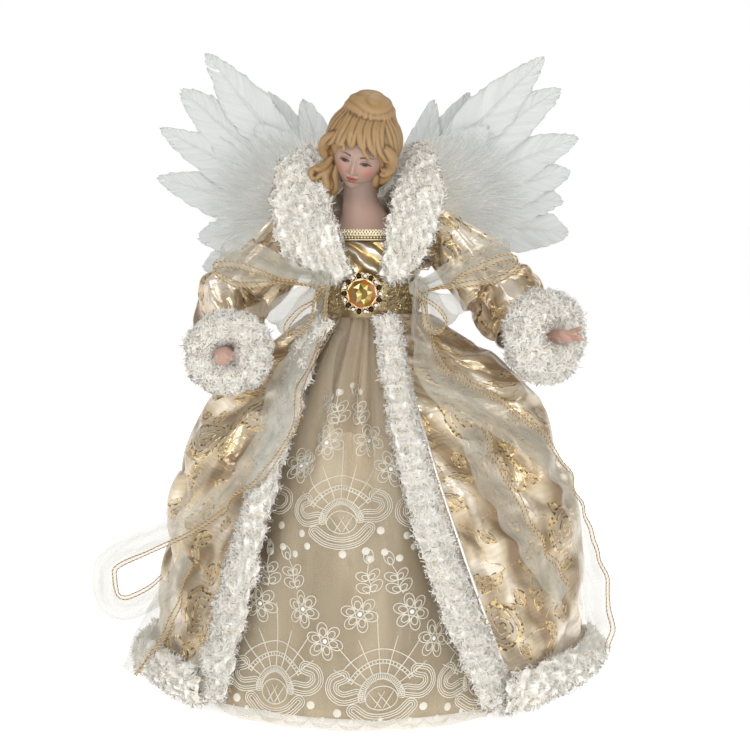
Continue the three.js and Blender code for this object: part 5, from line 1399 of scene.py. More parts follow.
def flat_loft(shell, grid, out, tint):
    """A thin closed vane over a grid of points, with a tint for each of its rows."""
    rows, columns, _ = grid.shape
    lift = out * VANE_THICKNESS / 2
    ring = np.concatenate([grid + lift, grid[:, ::-1] - lift], axis=1)
    low = np.arange(columns - 1)
    end = np.stack([low, low + 1, 2 * columns - 2 - low, 2 * columns - 1 - low], axis=-1)
    faces = [grid_faces(rows, 2 * columns, True)[:, ::-1], end, (end + (rows - 1) * 2 * columns)[:, ::-1]]
    shell.add(ring, faces, np.repeat(tint, 2 * columns, axis=0))


def down(shell, roots, aim, length, curl, turns, tint, rng):
    """Fine curling strands of down."""
    lines, sideways = curls(roots, aim, length, curl, turns, DOWN_STEPS, rng)
    points, faces = strands(lines, np.broadcast_to(DOWN_WIDTHS, (len(roots), DOWN_STEPS)), sideways, 0.7)
    shell.add(points, faces, tint)


def feather(shell, root, tip, across, out, half, rng, fluff):
    """One feather: a tapered shaft, two vanes of barbs run together or parted, and down at its foot."""
    length = np.linalg.norm(tip - root)
    along = unit(tip - root)
    bow = rng.uniform(-1.0, 3.0)
    curve = rng.uniform(1.0, 3.0)

    def on_feather(ahead, aside, lift=0.0):
        share = np.clip(ahead / length, 0, 1.05)
        arch = np.sin(share * math.pi)
        middle = across * (bow * arch)[..., None] + out * (curve * arch)[..., None]
        level = root + along * ahead[..., None] + middle + across * aside[..., None]
        return level + out * np.asarray(lift)[..., None]

    line = on_feather(np.linspace(0, 0.96, SHAFT_STEPS) * length, np.zeros(SHAFT_STEPS), 0.12)
    shell.add(*tube(line, np.linspace(SHAFT_ROOT, SHAFT_TIP, SHAFT_STEPS), 6), tint=FEATHER_SHAFT)
    count = int(length / BARB_SPACING)
    u = np.linspace(0, 1, count)
    for way, share in ((-1, rng.uniform(0.86, 1.0)), (1, rng.uniform(0.96, 1.08))):
        ends = length * (0.16 + 0.84 * np.sin(u * math.pi / 2) ** 0.92)
        blunt = rng.uniform(0.55, 0.75)
        closing = (1 - np.clip(ends / length, 0, 1) ** VANE_FULL) ** blunt
        width = half * share * ease((u + 0.12) / 0.5) * closing
        width = width * (1 + soften(rng.normal(0, 0.12, count), 12, 0) + rng.normal(0, 0.004, count))
        ends = ends + soften(rng.normal(0, 1.2, count), 9, 0) * ease(u * 2)
        cuts = [int(rng.integers(int(count * 0.6), count - 8))] if rng.random() < FEATHER_PARTED else []
        for at in cuts:
            gap = (np.arange(count) - at + 0.5) / 5
            ends = ends + np.sign(gap) * np.exp(-np.abs(gap)) * rng.uniform(0.2, 1.0)
        lean = np.tan(np.radians(lerp(38, 26, u)))
        starts = np.maximum.accumulate(np.clip(ends - width / lean, 0.07 * length, 0.975 * length))
        q = np.linspace(0, 1, BARB_STEPS)[None]
        aside = width[:, None] * (q + 0.25 * q * (1 - q))
        ahead = lerp(starts[:, None], ends[:, None], lerp(q, q * q, 0.45))
        sway = soften(rng.normal(0, 1.6, (count, 1)), 8, 0) + rng.normal(0, 0.05, (count, 1))
        lift = -0.9 * (aside / half) ** 2 + sway * q**2
        grid = on_feather(ahead, way * aside, lift)
        shade = soften(rng.normal(1, 0.05, count), 1, 0) * lerp(1.12, 1.0, u)
        tint = np.clip(shade[:, None] * np.array([FEATHER_VANE]), 0, 1)
        for first, last in zip([0] + cuts, cuts + [count]):
            part = slice(first, last)
            flat_loft(shell, grid[part] if way > 0 else grid[part, ::-1], out, tint[part])
    ahead = length * rng.uniform(0.04, 0.3, DOWN_BARBS)
    roots = on_feather(ahead, np.zeros(DOWN_BARBS))
    each = (DOWN_BARBS, 1)
    aim = across * rng.choice((-1.0, 1.0), each) + along * rng.uniform(0.2, 1.1, each)
    aim = unit(aim + out * rng.normal(0.3, 0.4, each))
    down(shell, roots, aim, fluff * half * rng.uniform(0.7, 1.25, DOWN_BARBS), 0.7, 4.0, FEATHER_VANE, rng)


HINGE_SPREAD, HINGE_DEPTH, HINGE_HEIGHT = 12, 28.1, 270
DOWN_STRANDS = 8200
WING_WIDER = np.array([1.13, 1.0, 1.0])
# Back coverts: angle and length of each
BACK_COVERTS = ((70, 74), (58, 88), (46, 94), (33, 94), (19, 92), (4, 88), (-12, 76), (-26, 60))
COVERT_HALF, COVERT_INSET, COVERT_STANDOFF = 17.0, 12, 9
FLIGHTS, COVERTS, LOW_FLIGHT = 6, 3, 4
FLIGHT_FLUFF, COVERT_FLUFF = 0.6, 1.0
DOWN_INSET = 1.2
WARM_REACH, WARM_FADE = 14, 40
SOFT_STRANDS = 8000
SOFT_FRONT, SOFT_BACK = 37.0, 57.0
SOFT_LOW, SOFT_HIGH = -20, 82
BACKWARD = np.array([0, 1.0, 0])


def down_tints(roots, hinge):
    """Down is cream at the wing's root and takes the feathers' white farther out."""
    far = ease((np.linalg.norm(roots - hinge, axis=1) - WARM_REACH) / WARM_FADE)[:, None, None]
    points = 3 * (DOWN_STEPS - 1) + 1
    return np.repeat(lerp(np.array(DOWN_WARM), np.array(DOWN_WHITE), far), points, axis=1).reshape(-1, 3)


def wing(side, paint, down_paint):
    """Flight feathers and coverts in front and behind, with marabou down over their roots."""
    way = SIDES[side]
    body = f"{side}_wing"
    rng = np.random.default_rng(60 + way)
    hinge = np.array([way * HINGE_SPREAD, HINGE_DEPTH, HINGE_HEIGHT])
    flights = [("flight", number, FLIGHT_FLUFF) for number in range(1, FLIGHTS + 1)]
    coverts = [("covert", number, COVERT_FLUFF) for number in range(1, COVERTS + 1)]
    for kind, number, fluff in flights + coverts:
        node = f"{side}_wing_{kind}_{number}"
        root, tip, across, out, half = feather_frame(node, hinge)
        tip = root + (tip - root) * WING_WIDER
        low = kind == "flight" and number > LOW_FLIGHT
        shell = Shell()
        feather(shell, root, tip, across, out, half * (LOW_VANE_SPREAD if low else VANE_SPREAD), rng, fluff)
        place(shell.object(f"{node}_barbs"), body, paint, "feather", node)
    back_coverts(side, body, paint, rng)
    base, triangles, normals = soft_body(f"{side}_wing_down", FUR_VOXEL, FUR_ROUNDING)
    base = base - normals * DOWN_INSET
    shell = Shell()
    shell.add(base, [triangles], WHITE)
    roots, aim, _ = scatter(base, triangles, DOWN_STRANDS, rng)
    aim = aim * np.array([0.8, 0.35, 0.8]) + 1.3 * unit(roots - hinge)
    aim = unit(aim + 0.35 * wobble(roots, 14, 71) + 0.25 * rng.normal(size=aim.shape))
    down(shell, roots, aim, rng.uniform(6, 26, DOWN_STRANDS), 1.8, 2.6, down_tints(roots, hinge), rng)
    marabou = place(shell.object(f"{side}_wing_marabou"), body, down_paint, "feather", f"{side}_wing_down")
    soft_down(side, body, hinge, down_paint, rng)


def back_coverts(side, body, paint, rng):
    """A fan of feathers that hides the card at the wing's back."""
    way = SIDES[side]
    card = solid_box(f"{side}_wing_card")
    shell = Shell()
    for angle, length in BACK_COVERTS:
        turn = math.radians(angle)
        along = np.array([way * math.cos(turn), 0.06, math.sin(turn)])
        depth = card[1, 1] + COVERT_STANDOFF + rng.uniform(0, 3)
        root = np.array([card[:, 0].mean() - way * COVERT_INSET, depth, card[:, 2].mean()]) + along * 4
        tip = root + unit(along) * length
        feather(shell, root, tip, np.cross(BACKWARD, unit(along)), BACKWARD, COVERT_HALF, rng, COVERT_FLUFF)
    place(shell.object(f"{side}_wing_back_coverts"), body, paint, "feather")


def soft_down(side, body, hinge, paint, rng):
    """Long loose down over both faces of the wing, shorter towards its top."""
    turn = np.radians(rng.uniform(SOFT_LOW, SOFT_HIGH, SOFT_STRANDS))
    short = 1 - 0.45 * ease((np.degrees(turn) - 48) / 34)
    far = rng.uniform(8, 52, SOFT_STRANDS) * short
    front = rng.random(SOFT_STRANDS) < 0.62
    depth = np.where(front, SOFT_FRONT + 0.12 * far, SOFT_BACK) + rng.uniform(0, 3, SOFT_STRANDS)
    along = np.stack([SIDES[side] * np.cos(turn), np.full(SOFT_STRANDS, 0.1), np.sin(turn)], axis=1)
    roots = np.stack([hinge[0] + along[:, 0] * far, depth, hinge[2] + along[:, 2] * far], axis=1)
    aim = unit(along + 0.3 * wobble(roots, 16, 73) + 0.2 * rng.normal(size=along.shape))
    length = rng.uniform(12, 30, SOFT_STRANDS) * short
    shell = Shell()
    down(shell, roots, aim, length, 1.4, 2.2, down_tints(roots, hinge), rng)
    place(shell.object(f"{side}_wing_soft_down"), body, paint, "feather")


GUSSET_IN, GUSSET_OUT, GUSSET_DRAW = 24, 46, 10
GUSSET_DEPTH, GUSSET_BULGE = 7, 3
GUSSET_HIGH, GUSSET_LOW, GUSSET_STEPS = 262, 240, 24
NECK_AXIS = 4
# Cloth about the neck: half width and half depth at its foot and at its top, heights of both, arc in
# degrees, rows and columns
LINING = ((19, 16), (24.7, 20.8), (250, 302), (12, 168), 14, 40)
YOKE = ((42, 19), (15, 13), (258, 290), (-25, 205), 20, 64)
HEAD_CENTRE = np.array([-4.0, -8.0, 310.4])
HEAD_TURN, HEAD_NOD, HEAD_ROLL = -12, 20, 15
FACE_HALF = np.array([16.0, 17.5, 21.8])
EYE_SPREAD, EYE_HEIGHT = 6.2, -2.0
MOUTH_HEIGHT = -12.9
LOWER_FACE = 1.14
FACE_ROWS, FACE_COLUMNS, FACE_CROWD = 210, 230, 1.45
# The nose's ridge: how far it stands out by height, and its half width from its tip to its bridge
NOSE_HEIGHTS, NOSE_RISE = (-9.8, -8.9, -7.8, -4.4, -0.4, 3.4), (0, 2.9, 5.2, 3.2, 1.2, 0)
NOSE_WIDTHS = (1.75, 1.35)
# Other forms: height, whether on both sides, then centre and spread across and up
RELIEF = (
    (1.7, True, EYE_SPREAD, 2.7, EYE_HEIGHT - 0.1, 1.9),
    (0.5, True, EYE_SPREAD, 4.4, EYE_HEIGHT + 4.4, 1.5),
    (1.3, True, 2.0, 1.1, -8.2, 1.05),
    (1.1, False, 0, 5.0, MOUTH_HEIGHT, 4.0),
    (0.9, True, 1.2, 1.8, MOUTH_HEIGHT + 1.1, 0.85),
    (1.15, False, 0, 2.4, MOUTH_HEIGHT - 1.25, 0.95),
    (-0.9, False, 0, 3.4, MOUTH_HEIGHT, 0.42),
    (-0.6, False, 0, 4.0, MOUTH_HEIGHT - 3.1, 1.1),
    (1.9, False, 0, 4.4, -20.6, 3.0),
    (1.0, True, 8.0, 4.2, -7.2, 4.6),
)
# The face's colours
BLUSH, NOSTRIL_SHADE = (0.48, 0.16, 0.125), (0.11, 0.035, 0.025)
LIPS, LIP_LINE = (0.33, 0.07, 0.05), (0.10, 0.015, 0.013)
LID, EYE_WHITE = (0.30, 0.165, 0.12), (0.20, 0.14, 0.11)
IRIS, PUPIL, GLINT = (0.035, 0.02, 0.012), (0.02, 0.012, 0.01), (0.7, 0.7, 0.7)
LASH, LOWER_LASH = (0.022, 0.012, 0.008), (0.12, 0.055, 0.035)
CREASE, BROW = (0.11, 0.05, 0.03), (0.055, 0.03, 0.016)
EYE_HALF = 3.0
PLATE_CENTRE, PLATE_HALF = np.array([0, -3.5, 262.0]), np.array([25, 17.5, 9.0])
PLATE_LIFT = 0.4
NECK_LINE = [(-2, -3.5, 263), (-3.2, -3.2, 272), (-4.6, -3.0, 281), (-5.0, -3.0, 292), (-4.6, -3.0, 304)]
NECK_GIRTH = (19, 15, 11.6, 10.0, 9.5, 9.4, 9.4)
NECK_SHADE, NECK_LIT, NECK_FADE = 0.62, 272, 14


def gusset(side, paint):
    """Coat cloth that joins the bodice's side to the sleeve's head, behind the arm."""
    way = SIDES[side]
    across = np.linspace(0, 1, GUSSET_STEPS)[None]
    down_share = across.T
    x = way * lerp(GUSSET_IN, GUSSET_OUT - GUSSET_DRAW * down_share, across)
    y = GUSSET_DEPTH + GUSSET_BULGE * np.sin(math.pi * across) * np.sin(math.pi * down_share)
    grid = np.stack(np.broadcast_arrays(x, y, lerp(GUSSET_HIGH, GUSSET_LOW, down_share)), axis=-1)
    cloth = cloth_object(f"{side}_coat_gusset", grid if way > 0 else grid[:, ::-1], LINING_THICKNESS)
    place(cloth, "figure", paint, "brocade")


def neck_cloth(name, foot, top, heights, spread, rows, columns, paint):
    """Coat cloth that stands about the back of the neck."""
    turn = np.radians(np.linspace(*spread, columns))[None]
    up = np.linspace(0, 1, rows)[:, None]
    x = lerp(foot[0], top[0], up) * np.cos(turn)
    y = NECK_AXIS + lerp(foot[1], top[1], up) * np.sin(turn)
    grid = np.stack(np.broadcast_arrays(x, y, lerp(*heights, up)), axis=-1)
    place(cloth_object(name, grid, LINING_THICKNESS), "figure", paint, "brocade")


def head_frame(points):
    """Points of the head's own frame, tilted and set on the neck."""
    turn = Matrix.Rotation(math.radians(HEAD_TURN), 3, "Z")
    turn = turn @ Matrix.Rotation(math.radians(HEAD_NOD), 3, "X")
    turn = turn @ Matrix.Rotation(math.radians(HEAD_ROLL), 3, "Y")
    return points @ np.array(turn).T + HEAD_CENTRE


def ball(rows, columns, crowd=1.0):
    """Unit directions over a ball, row by row from the top, crowded towards the front, and their angles."""
    share = np.linspace(-1, 1, columns + 1)[:-1]
    turn = math.pi * np.sign(share) * np.abs(share) ** crowd
    rise = np.linspace(math.pi / 2, -math.pi / 2, rows)[:, None]
    aim = np.sin(turn) * np.cos(rise), -np.cos(turn) * np.cos(rise), np.sin(rise) * np.ones_like(turn)
    return np.stack(aim, axis=-1), turn, rise


def spot(x, centre_x, spread_x, z, centre_z, spread_z):
    return np.exp(-(((x - centre_x) / spread_x) ** 2) - ((z - centre_z) / spread_z) ** 2)


def face_relief(x, z):
    """How far the face stands out in front of an egg."""
    a = np.abs(x)
    relief = -1.5 * spot(a, EYE_SPREAD, 3.6, z, EYE_HEIGHT + 0.5, 2.7)
    bridge = np.interp(z, NOSE_HEIGHTS, NOSE_RISE)
    relief += bridge * bell(x, 0, np.interp(z, (-8, 0), NOSE_WIDTHS))
    for height, across, centre, spread_x, centre_z, spread_z in RELIEF:
        relief += height * spot(a if across else x, centre, spread_x, z, centre_z, spread_z)
    return relief


def over(base, colour, share):
    return lerp(base, np.array(colour), np.clip(share, 0, 1)[..., None])


def stroke(distance, half, soft=0.12):
    return 1 - ease((np.abs(distance) - half) / soft)


def face_tint(x, z):
    """Painted face: blush, lips, lidded eyes, lashes and brows, and painted shade in the nostrils."""
    a = np.abs(x)
    tint = np.broadcast_to(np.array(SKIN), x.shape + (3,))
    tint = over(tint, BLUSH, 0.55 * spot(a, 8.4, 3.8, z, -7.8, 3.4) + 0.18 * spot(x, 0, 2, z, -7.6, 1.6))
    e = a - EYE_SPREAD
    up = z - EYE_HEIGHT
    arch = 1 - (e / EYE_HALF) ** 2
    lash = EYE_HEIGHT - 0.55 + 0.95 * arch - 0.1 * e
    under = EYE_HEIGHT - 0.75 - 0.55 * arch
    within = (np.abs(e) < EYE_HALF) * ease((lash - z) / 0.15) * ease((z - under) / 0.15)
    tint = over(tint, LID, 0.4 * spot(e, 0, EYE_HALF, z, EYE_HEIGHT + 1.1, 1.0))
    tint = over(tint, EYE_WHITE, within)
    iris = np.hypot(e + 0.15, up + 0.25)
    tint = over(tint, IRIS, within * stroke(iris, 1.45))
    tint = over(tint, PUPIL, within * stroke(iris, 0.62))
    tint = over(tint, GLINT, within * stroke(np.hypot(x - np.sign(x) * EYE_SPREAD + 0.3, up - 0.1), 0.2))
    lash_half = np.maximum(0.46 - 0.06 * np.abs(e), 0.1)
    tint = over(tint, LASH, stroke(z - lash, lash_half) * (e > -3.1) * (e < 3.5))
    tint = over(tint, LOWER_LASH, 0.6 * stroke(z - under, 0.1) * (np.abs(e) < 2.9))
    crease = lash + 1.15 - 0.1 * arch
    tint = over(tint, CREASE, 0.65 * stroke(z - crease, 0.12, 0.2) * (np.abs(e) < 2.9))
    brow = EYE_HEIGHT + 3.0 + 0.9 * (1 - ((e - 0.2) / 4.0) ** 2)
    brow_half = np.clip(0.36 - 0.05 * (e + 2), 0.1, 0.4)
    tint = over(tint, BROW, 0.95 * stroke(z - brow, brow_half, 0.25) * (e > -3.4) * (e < 4.0))
    upper = MOUTH_HEIGHT + 1.75 * (1 - (a / 3.9) ** 2) + 0.35 * bell(a, 1.1, 0.7) - 0.35 * bell(a, 0, 0.5)
    lower = MOUTH_HEIGHT - 2.1 * (1 - (a / 3.7) ** 2)
    lips = ease((upper - z) / 0.25) * ease((z - lower) / 0.3) * (a < 3.9)
    tint = over(tint, LIPS, 0.9 * lips)
    parting = z - MOUTH_HEIGHT - 0.12 * bell(a, 1.2, 0.9)
    tint = over(tint, LIP_LINE, 0.8 * stroke(parting, 0.1, 0.16) * (a < 3.5))
    # Painted shade in the nostrils
    return over(tint, NOSTRIL_SHADE, 0.6 * spot(a, 1.35, 0.55, z, -9.2, 0.45))


def face(paint):
    """Head, neck and shoulder plate as one painted casting."""
    aim = ball(FACE_ROWS, FACE_COLUMNS, FACE_CROWD)[0]
    egg = aim / np.linalg.norm(aim / FACE_HALF, axis=-1, keepdims=True)
    x, y, z = np.moveaxis(egg, -1, 0)
    z = np.where(z < 0, z * LOWER_FACE, z)
    x = x * (1 - 0.31 * (np.clip(-z - 3, 0, 30) / 19) ** 1.4)
    front = ease((-aim[..., 1] - 0.15) / 0.4)
    y = y - front * face_relief(x, z) + 2.0 * ease((-z - 10) / 12) * (1 - front)
    tint = np.where(front[..., None] > 0.2, face_tint(x, z), np.array(SKIN))
    faces = [grid_faces(FACE_ROWS, FACE_COLUMNS, True)]
    shell = Shell()
    shell.add(head_frame(np.stack([x, y, z], axis=-1)), faces, tint.reshape(-1, 3))
    stem = Shell()
    neck = even_path(smooth_path(NECK_LINE, 40), 40)
    girth = np.interp(np.linspace(0, 1, 40), np.linspace(0, 1, len(NECK_GIRTH)), NECK_GIRTH)
    stem.add(*tube(neck, soften(girth, 4, 0), 40, up=(1, 0, 0)))
    plate = ball(40, 60)[0] * PLATE_HALF + PLATE_CENTRE
    plate[..., 2] = np.maximum(plate[..., 2], solid_box("torso_form")[1, 2] + PLATE_LIFT)
    stem.add(plate, [grid_faces(40, 60, True)])
    points, triangles, _ = run_together(stem, 0.8, 14)
    shade = lerp(1.0, NECK_SHADE, ease((points[:, 2] - NECK_LIT) / NECK_FADE))[:, None]
    shell.add(points, [triangles], np.array(SKIN) * shade)
    place(shell.object("doll_head"), "figure", paint, "skin", "shoulder_head")


# Fringe: places along it from right to left, how far each lock sweeps aside and how low it hangs.
FRINGE = (
    (-13.5, -3.6, 4.0), (-10.8, -1.4, 5.8), (-8.0, -2.6, 5.6), (-5.2, 0.8, 7.2), (-2.4, -0.6, 6.2),
    (0.4, 2.8, 7.4), (3.2, 1.6, 5.6), (6.0, 4.4, 6.2), (8.8, 2.8, 4.4), (11.4, 5.0, 4.2), (13.6, 4.2, 2.0),
)
FRINGE_RADIUS, LOCK_STEPS = 2.5, 44
# Locks of hair in the head's frame: stations and thickest radius.
LOCKS = (
    ([(3.5, -19.4, 8), (5.6, -20.2, 5.4), (7.8, -19.8, 3.2), (6.6, -19.4, 1.6)], 1.5),
    ([(-7.6, -18.8, 7.5), (-7.2, -19.6, 5), (-8.4, -19.2, 2.8)], 1.4),
    ([(14, -13, 9), (18.6, -10, 4), (19.6, -7, -2), (17.6, -8, -7.5), (14.6, -10, -8.5)], 5.0),
    ([(15.5, -9, -4), (18.4, -5, -8), (16.4, -4, -13), (14, -4, -16)], 4.0),
    ([(-14, -13, 10), (-18.8, -10, 5), (-20.4, -7, -1), (-18.6, -7, -6.5), (-16.2, -9, -8)], 4.6),
    ([(-15, -8, -6), (-17.5, -11, -10), (-21, -14, -12), (-24, -16, -15), (-22.4, -17.5, -18),
      (-20, -17, -16.5)], 2.9),
    ([(-15, -9, -8), (-18, -13, -11), (-20.5, -16.5, -12), (-23, -17.5, -10.5)], 2.4),
    ([(-15, -8, -9), (-17.5, -13, -14), (-20.5, -15.5, -18.5), (-18.8, -17, -21)], 2.8),
    (
        [(-14.5, -8, -10), (-15.8, -13.5, -16), (-13.6, -15.5, -22), (-15.4, -16, -27), (-13.2, -16.5, -31)],
        3.2,
    ),
    ([(-13.8, -6, -10), (-14.6, -11, -17), (-12.2, -13, -22), (-13.6, -14, -27)], 3.0),
    ([(-11, -4, -8), (-11.8, -8, -16), (-9.8, -9, -23), (-11.4, -10, -30)], 3.6),
    ([(11.5, -2, -8), (12.2, -3, -15), (10.4, -3, -21)], 3.8),
    ([(10, 12, -12), (15, 8, -17), (12, 6, -22), (14, 5, -26)], 3.2),
    ([(-8, 14, -12), (-13, 11, -17), (-9, 9, -22), (-11, 8, -26)], 3.2),
    ([(1, 16, -12), (-3, 14, -17), (3, 12, -22), (0, 11, -26)], 3.4),
)
CAP_CENTRE, CAP_HALF = np.array([0, 3.0, 4.5]), np.array([22.6, 20.0, 23.2])
BUN_CENTRE, BUN_HALF = np.array([-0.2, 4.5, 21.6]), np.array([15.4, 15.0, 12.8])
CROWN_CENTRE, CROWN_HALF = np.array([-0.2, 4.0, 13.5]), np.array([18.6, 16.6, 13.5])
HAIR_VOXEL = 0.55
CROWN_ROUNDING = 60
CROWN_TOP = 28
COMB_DEPTH = 0.75
BUN_WAVES, BUN_WAVE_DEPTH = 1.35, 0.26
HAIR_GROOVE = 0.22


def fringe_lock(x, sweep, low):
    """A lock that grows out of the crown and falls over the forehead: stations and thickest radius."""
    back = 0.02 * x * x
    stations = [
        (x * 0.7, -7 + back, 23),
        (x * 0.88 - sweep * 0.3, -14.2 + back, 17),
        (x - sweep * 0.1, -17.8 + back, low + 6.5),
        (x + sweep * 0.6, -19.4 + back, low + 1.6),
        (x + sweep * 1.2, -17.4 + back, low - 0.8),
    ]
    return stations, FRINGE_RADIUS


def hair(paint):
    """Moulded hair run together from a combed crown, fringe and curls, with a darker wash in its grooves."""
    crown = Shell()
    aim = ball(80, 120)[0]
    cap = aim / np.linalg.norm(aim / CAP_HALF, axis=-1, keepdims=True)
    across, ahead, up = np.moveaxis(cap, -1, 0)
    opening = ease(1.5 * (1.15 - np.hypot(across / 14.5, (up + 8.5) / 14.0))) * ease((-ahead - 1) / 7)
    nape = ease((-up - 14) / 6)
    cap = cap * (1 - 0.32 * opening - 0.25 * nape)[..., None] + CAP_CENTRE
    for form in (cap, aim * BUN_HALF + BUN_CENTRE, aim * CROWN_HALF + CROWN_CENTRE):
        crown.add(form, [grid_faces(80, 120, True)])
    points, triangles, normals = run_together(crown, HAIR_VOXEL, CROWN_ROUNDING)
    turn = np.arctan2(points[:, 0], -points[:, 1])
    height = points[:, 2]
    rise = height / CAP_HALF[2]
    comb = np.sin(turn * 11 + 2.6 * np.sin(turn * 3) + 1.6 * np.sin(rise * 4 + turn) + rise * 3.0)
    comb = comb * 0.6 + 0.4 * np.sin(turn * 23 + 3 * np.sin(turn * 5) + rise * 5)
    fade = ease((CROWN_TOP - height) / 8) * COMB_DEPTH
    waves = np.sin(height * BUN_WAVES + 1.8 * np.sin(turn * 2 + 0.6))
    waves = waves * ease((height - 21) / 5) * BUN_WAVE_DEPTH
    shell = Shell()
    shell.add(head_frame(points + normals * (comb * fade + waves)[:, None]), [triangles])
    for stations, radius in (*LOCKS, *(fringe_lock(*place) for place in FRINGE)):
        path = even_path(smooth_path(stations, 60), LOCK_STEPS)
        share = np.linspace(0, 1, LOCK_STEPS)
        girth = radius * np.clip(np.sqrt(np.sin(math.pi * np.clip(share * 0.9 + 0.1, 0, 1))), 0.12, 1)
        points, faces = tube(path, girth, 20, 0.8, up=(0, -1, 0.2))
        shell.add(head_frame(points), faces)
    points, triangles, normals = run_together(shell, HAIR_VOXEL, 3)
    wash = ease(hollows(points, triangles, normals, 10) / HAIR_GROOVE + 0.25)
    whole = Shell()
    whole.add(points, [triangles], over(np.array(HAIR), HAIR_SHADE, wash * 0.8))
    place(whole.object("doll_hair"), "figure", paint, "skin")


HAND_VOXEL = 0.42
ROSY = (0.52, 0.25, 0.19)


def hand(side, paint):
    """A moulded hand, its fingers run together."""
    points, triangles, _ = soft_body(f"{side}_hand", HAND_VOXEL, 3)
    shell = Shell()
    rosy = ease(wobble(points, 9, 81)[:, 0] * 0.4 + 0.3)
    shell.add(points, [triangles], over(np.array(SKIN), ROSY, rosy * 0.4))
    place(shell.object(f"{side}_hand_cast"), f"{side}_arm", paint, "skin", f"{side}_hand")


BRAID_COUNT, BRAID_ARC = 25, 50
BRAID_GROUND, BRAID_THREAD, BEAD_TINT = (0.26, 0.18, 0.08), (0.80, 0.72, 0.52), (0.74, 0.60, 0.34)
BRAID_LEAF = ((0, -0.6), (1.1, 0.7), (1.6, 2.1), (0.3, 3.2))
LEAF_RADII = (0.3, 0.36, 0.4, 0.42, 0.42, 0.4, 0.36, 0.3, 0.2)
BRAID_BEAD, BEAD_DROP = 0.75, -1.6


def braid(paint):
    """Neckline braid: a row of leaf loops over a row of beads."""
    middle = solid_box("neckline_braid")[:, 2].mean()
    angles = np.radians(np.linspace(-BRAID_ARC, BRAID_ARC, BRAID_COUNT))
    radius = skin_radius("neckline_braid", angles[None], np.full((1, BRAID_COUNT), middle))
    radius = soften(radius, 2, 1)[0]
    share, places = np.linspace(0, 1, 120), np.linspace(0, 1, BRAID_COUNT)
    rail = polar(np.interp(share, places, angles), np.interp(share, places, radius), middle)
    shell = Shell()
    shell.add(*tube(rail + (0, 0.6, 0), 2.4, 8, 0.45, up=(0, 0, 1)), tint=BRAID_GROUND)
    for angle, reach in zip(angles, radius + 0.5):
        for way in (-1, 1):
            across, up = np.array(BRAID_LEAF).T
            path = smooth_path(polar(angle + across * way / reach, reach, middle + up), len(LEAF_RADII))
            shell.add(*tube(path, np.array(LEAF_RADII), 6), tint=BRAID_THREAD)
        bead = ball(7, 10)[0] * BRAID_BEAD + polar(angle, reach, middle + BEAD_DROP)
        shell.add(bead, [grid_faces(7, 10, True)], BEAD_TINT)
    for drop in (-2.9, -0.35):
        shell.add(*tube(rail + (0, -0.3, drop), 0.42, 6), tint=IVORY)
    place(shell.object("neckline_braid_cord"), "figure", paint, "gold_braid", "neckline_braid")


RIBBON_WIDTH = 23
RIBBON_COLUMNS = 15
CORD_RADIUS = 0.22
CORD_PITCH = 2.4
LOOP_RISE, LOOP_TILT = 5.0, 50
KNOTS = {"right": np.array([-26.5, -43.0, 235.0]), "left": np.array([29.0, -42.0, 231.5])}
KNOT_HALF = np.array([5.2, 4.4, 5.6])
# Loops: which, reach from the knot and depth
LOOPS = {
    "right": (("upper", (-58, 5, 14), 4.5), ("lower", (-24, -7, -26), 3.5)),
    "left": (("upper", (52, 11, 21), 4.5), ("lower", (20, -6, -19), 3.5)),
}
# Tails: angle, height and distance from the coat at each station
TAILS = {
    "right": (
        ("tail", [(-37, 205, 15.4), (-38, 180, 17), (-36, 150, 18), (-51, 120, 14), (-66, 97, 14)]),
        ("end", [(-63, 80, 12), (-64, 71, 12), (-64.9, 44, 16), (-64.8, 28, 22), (-64.7, 16, 27)]),
    ),
    "left": (
        ("tail", [
            (36, 205, 15), (33, 180, 14), (52, 160, 8), (66, 130, 10),
            (70, 77, 15), (71, 45, 18), (69, 24, 18),
        ]),
        ("end", [(43, 155, 7), (43, 135, 8), (48, 108, 9), (55, 80, 9.5), (62, 58, 11)]),
    ),
}
# The right tail's loop clear of the coat
TAIL_LOOP = [
    (-144, -50, 79), (-150, -52, 67), (-147.5, -53, 54), (-138, -53, 49.5), (-125, -54, 55), (-113, -56, 64),
]
# Shares of the ribbon's width: at the knot, in the right tail's loop and at the right end's tip
KNOT_WIDTH, LOOP_WIDTH, END_WIDTH = 0.36, 0.6, 0.45
FREE_TURN = 0.6
CORD_STEP = 0.5
COAT_FRONT_LIMIT = {"right": -46, "left": 37}


def twisted_cord(shell, path):
    """Two strands laid round each other, one gold and one dark."""
    count = int(path_length(path) / CORD_STEP)
    line = even_path(path, count)
    _, side, out = frames(line)
    turn = np.arange(count) * CORD_STEP / CORD_PITCH * TURN
    for start, tint in ((0, GOLD), (math.pi, DARK_GOLD)):
        wind = side * np.cos(turn + start)[:, None] + out * np.sin(turn + start)[:, None]
        shell.add(*tube(line + wind * CORD_RADIUS * 0.9, CORD_RADIUS, 5), tint=tint)


def strip(centre, across, width, out, seed, ripple):
    """A ribbon's surface about its middle line, rippled and drawn into soft pleats."""
    s = np.linspace(-1, 1, RIBBON_COLUMNS)
    gone = distances(centre)
    flat = np.stack(np.broadcast_arrays(gone[:, None], s[None] * RIBBON_WIDTH / 2), axis=-1)
    wave = wobble(flat * np.array([1, 0.6]), 20, seed)[..., 0] * ripple
    drift = wobble(gone[:, None], 60, seed + 5)[:, :1]
    gather = 1 - width[:, None] / RIBBON_WIDTH
    wave = wave + np.sin(s * 5.2 + 1.6 * drift) * (0.7 + 2.2 * gather)
    level = centre[:, None] + across[:, None] * (s * width[:, None] / 2)[..., None]
    return level + out[:, None] * wave[..., None]


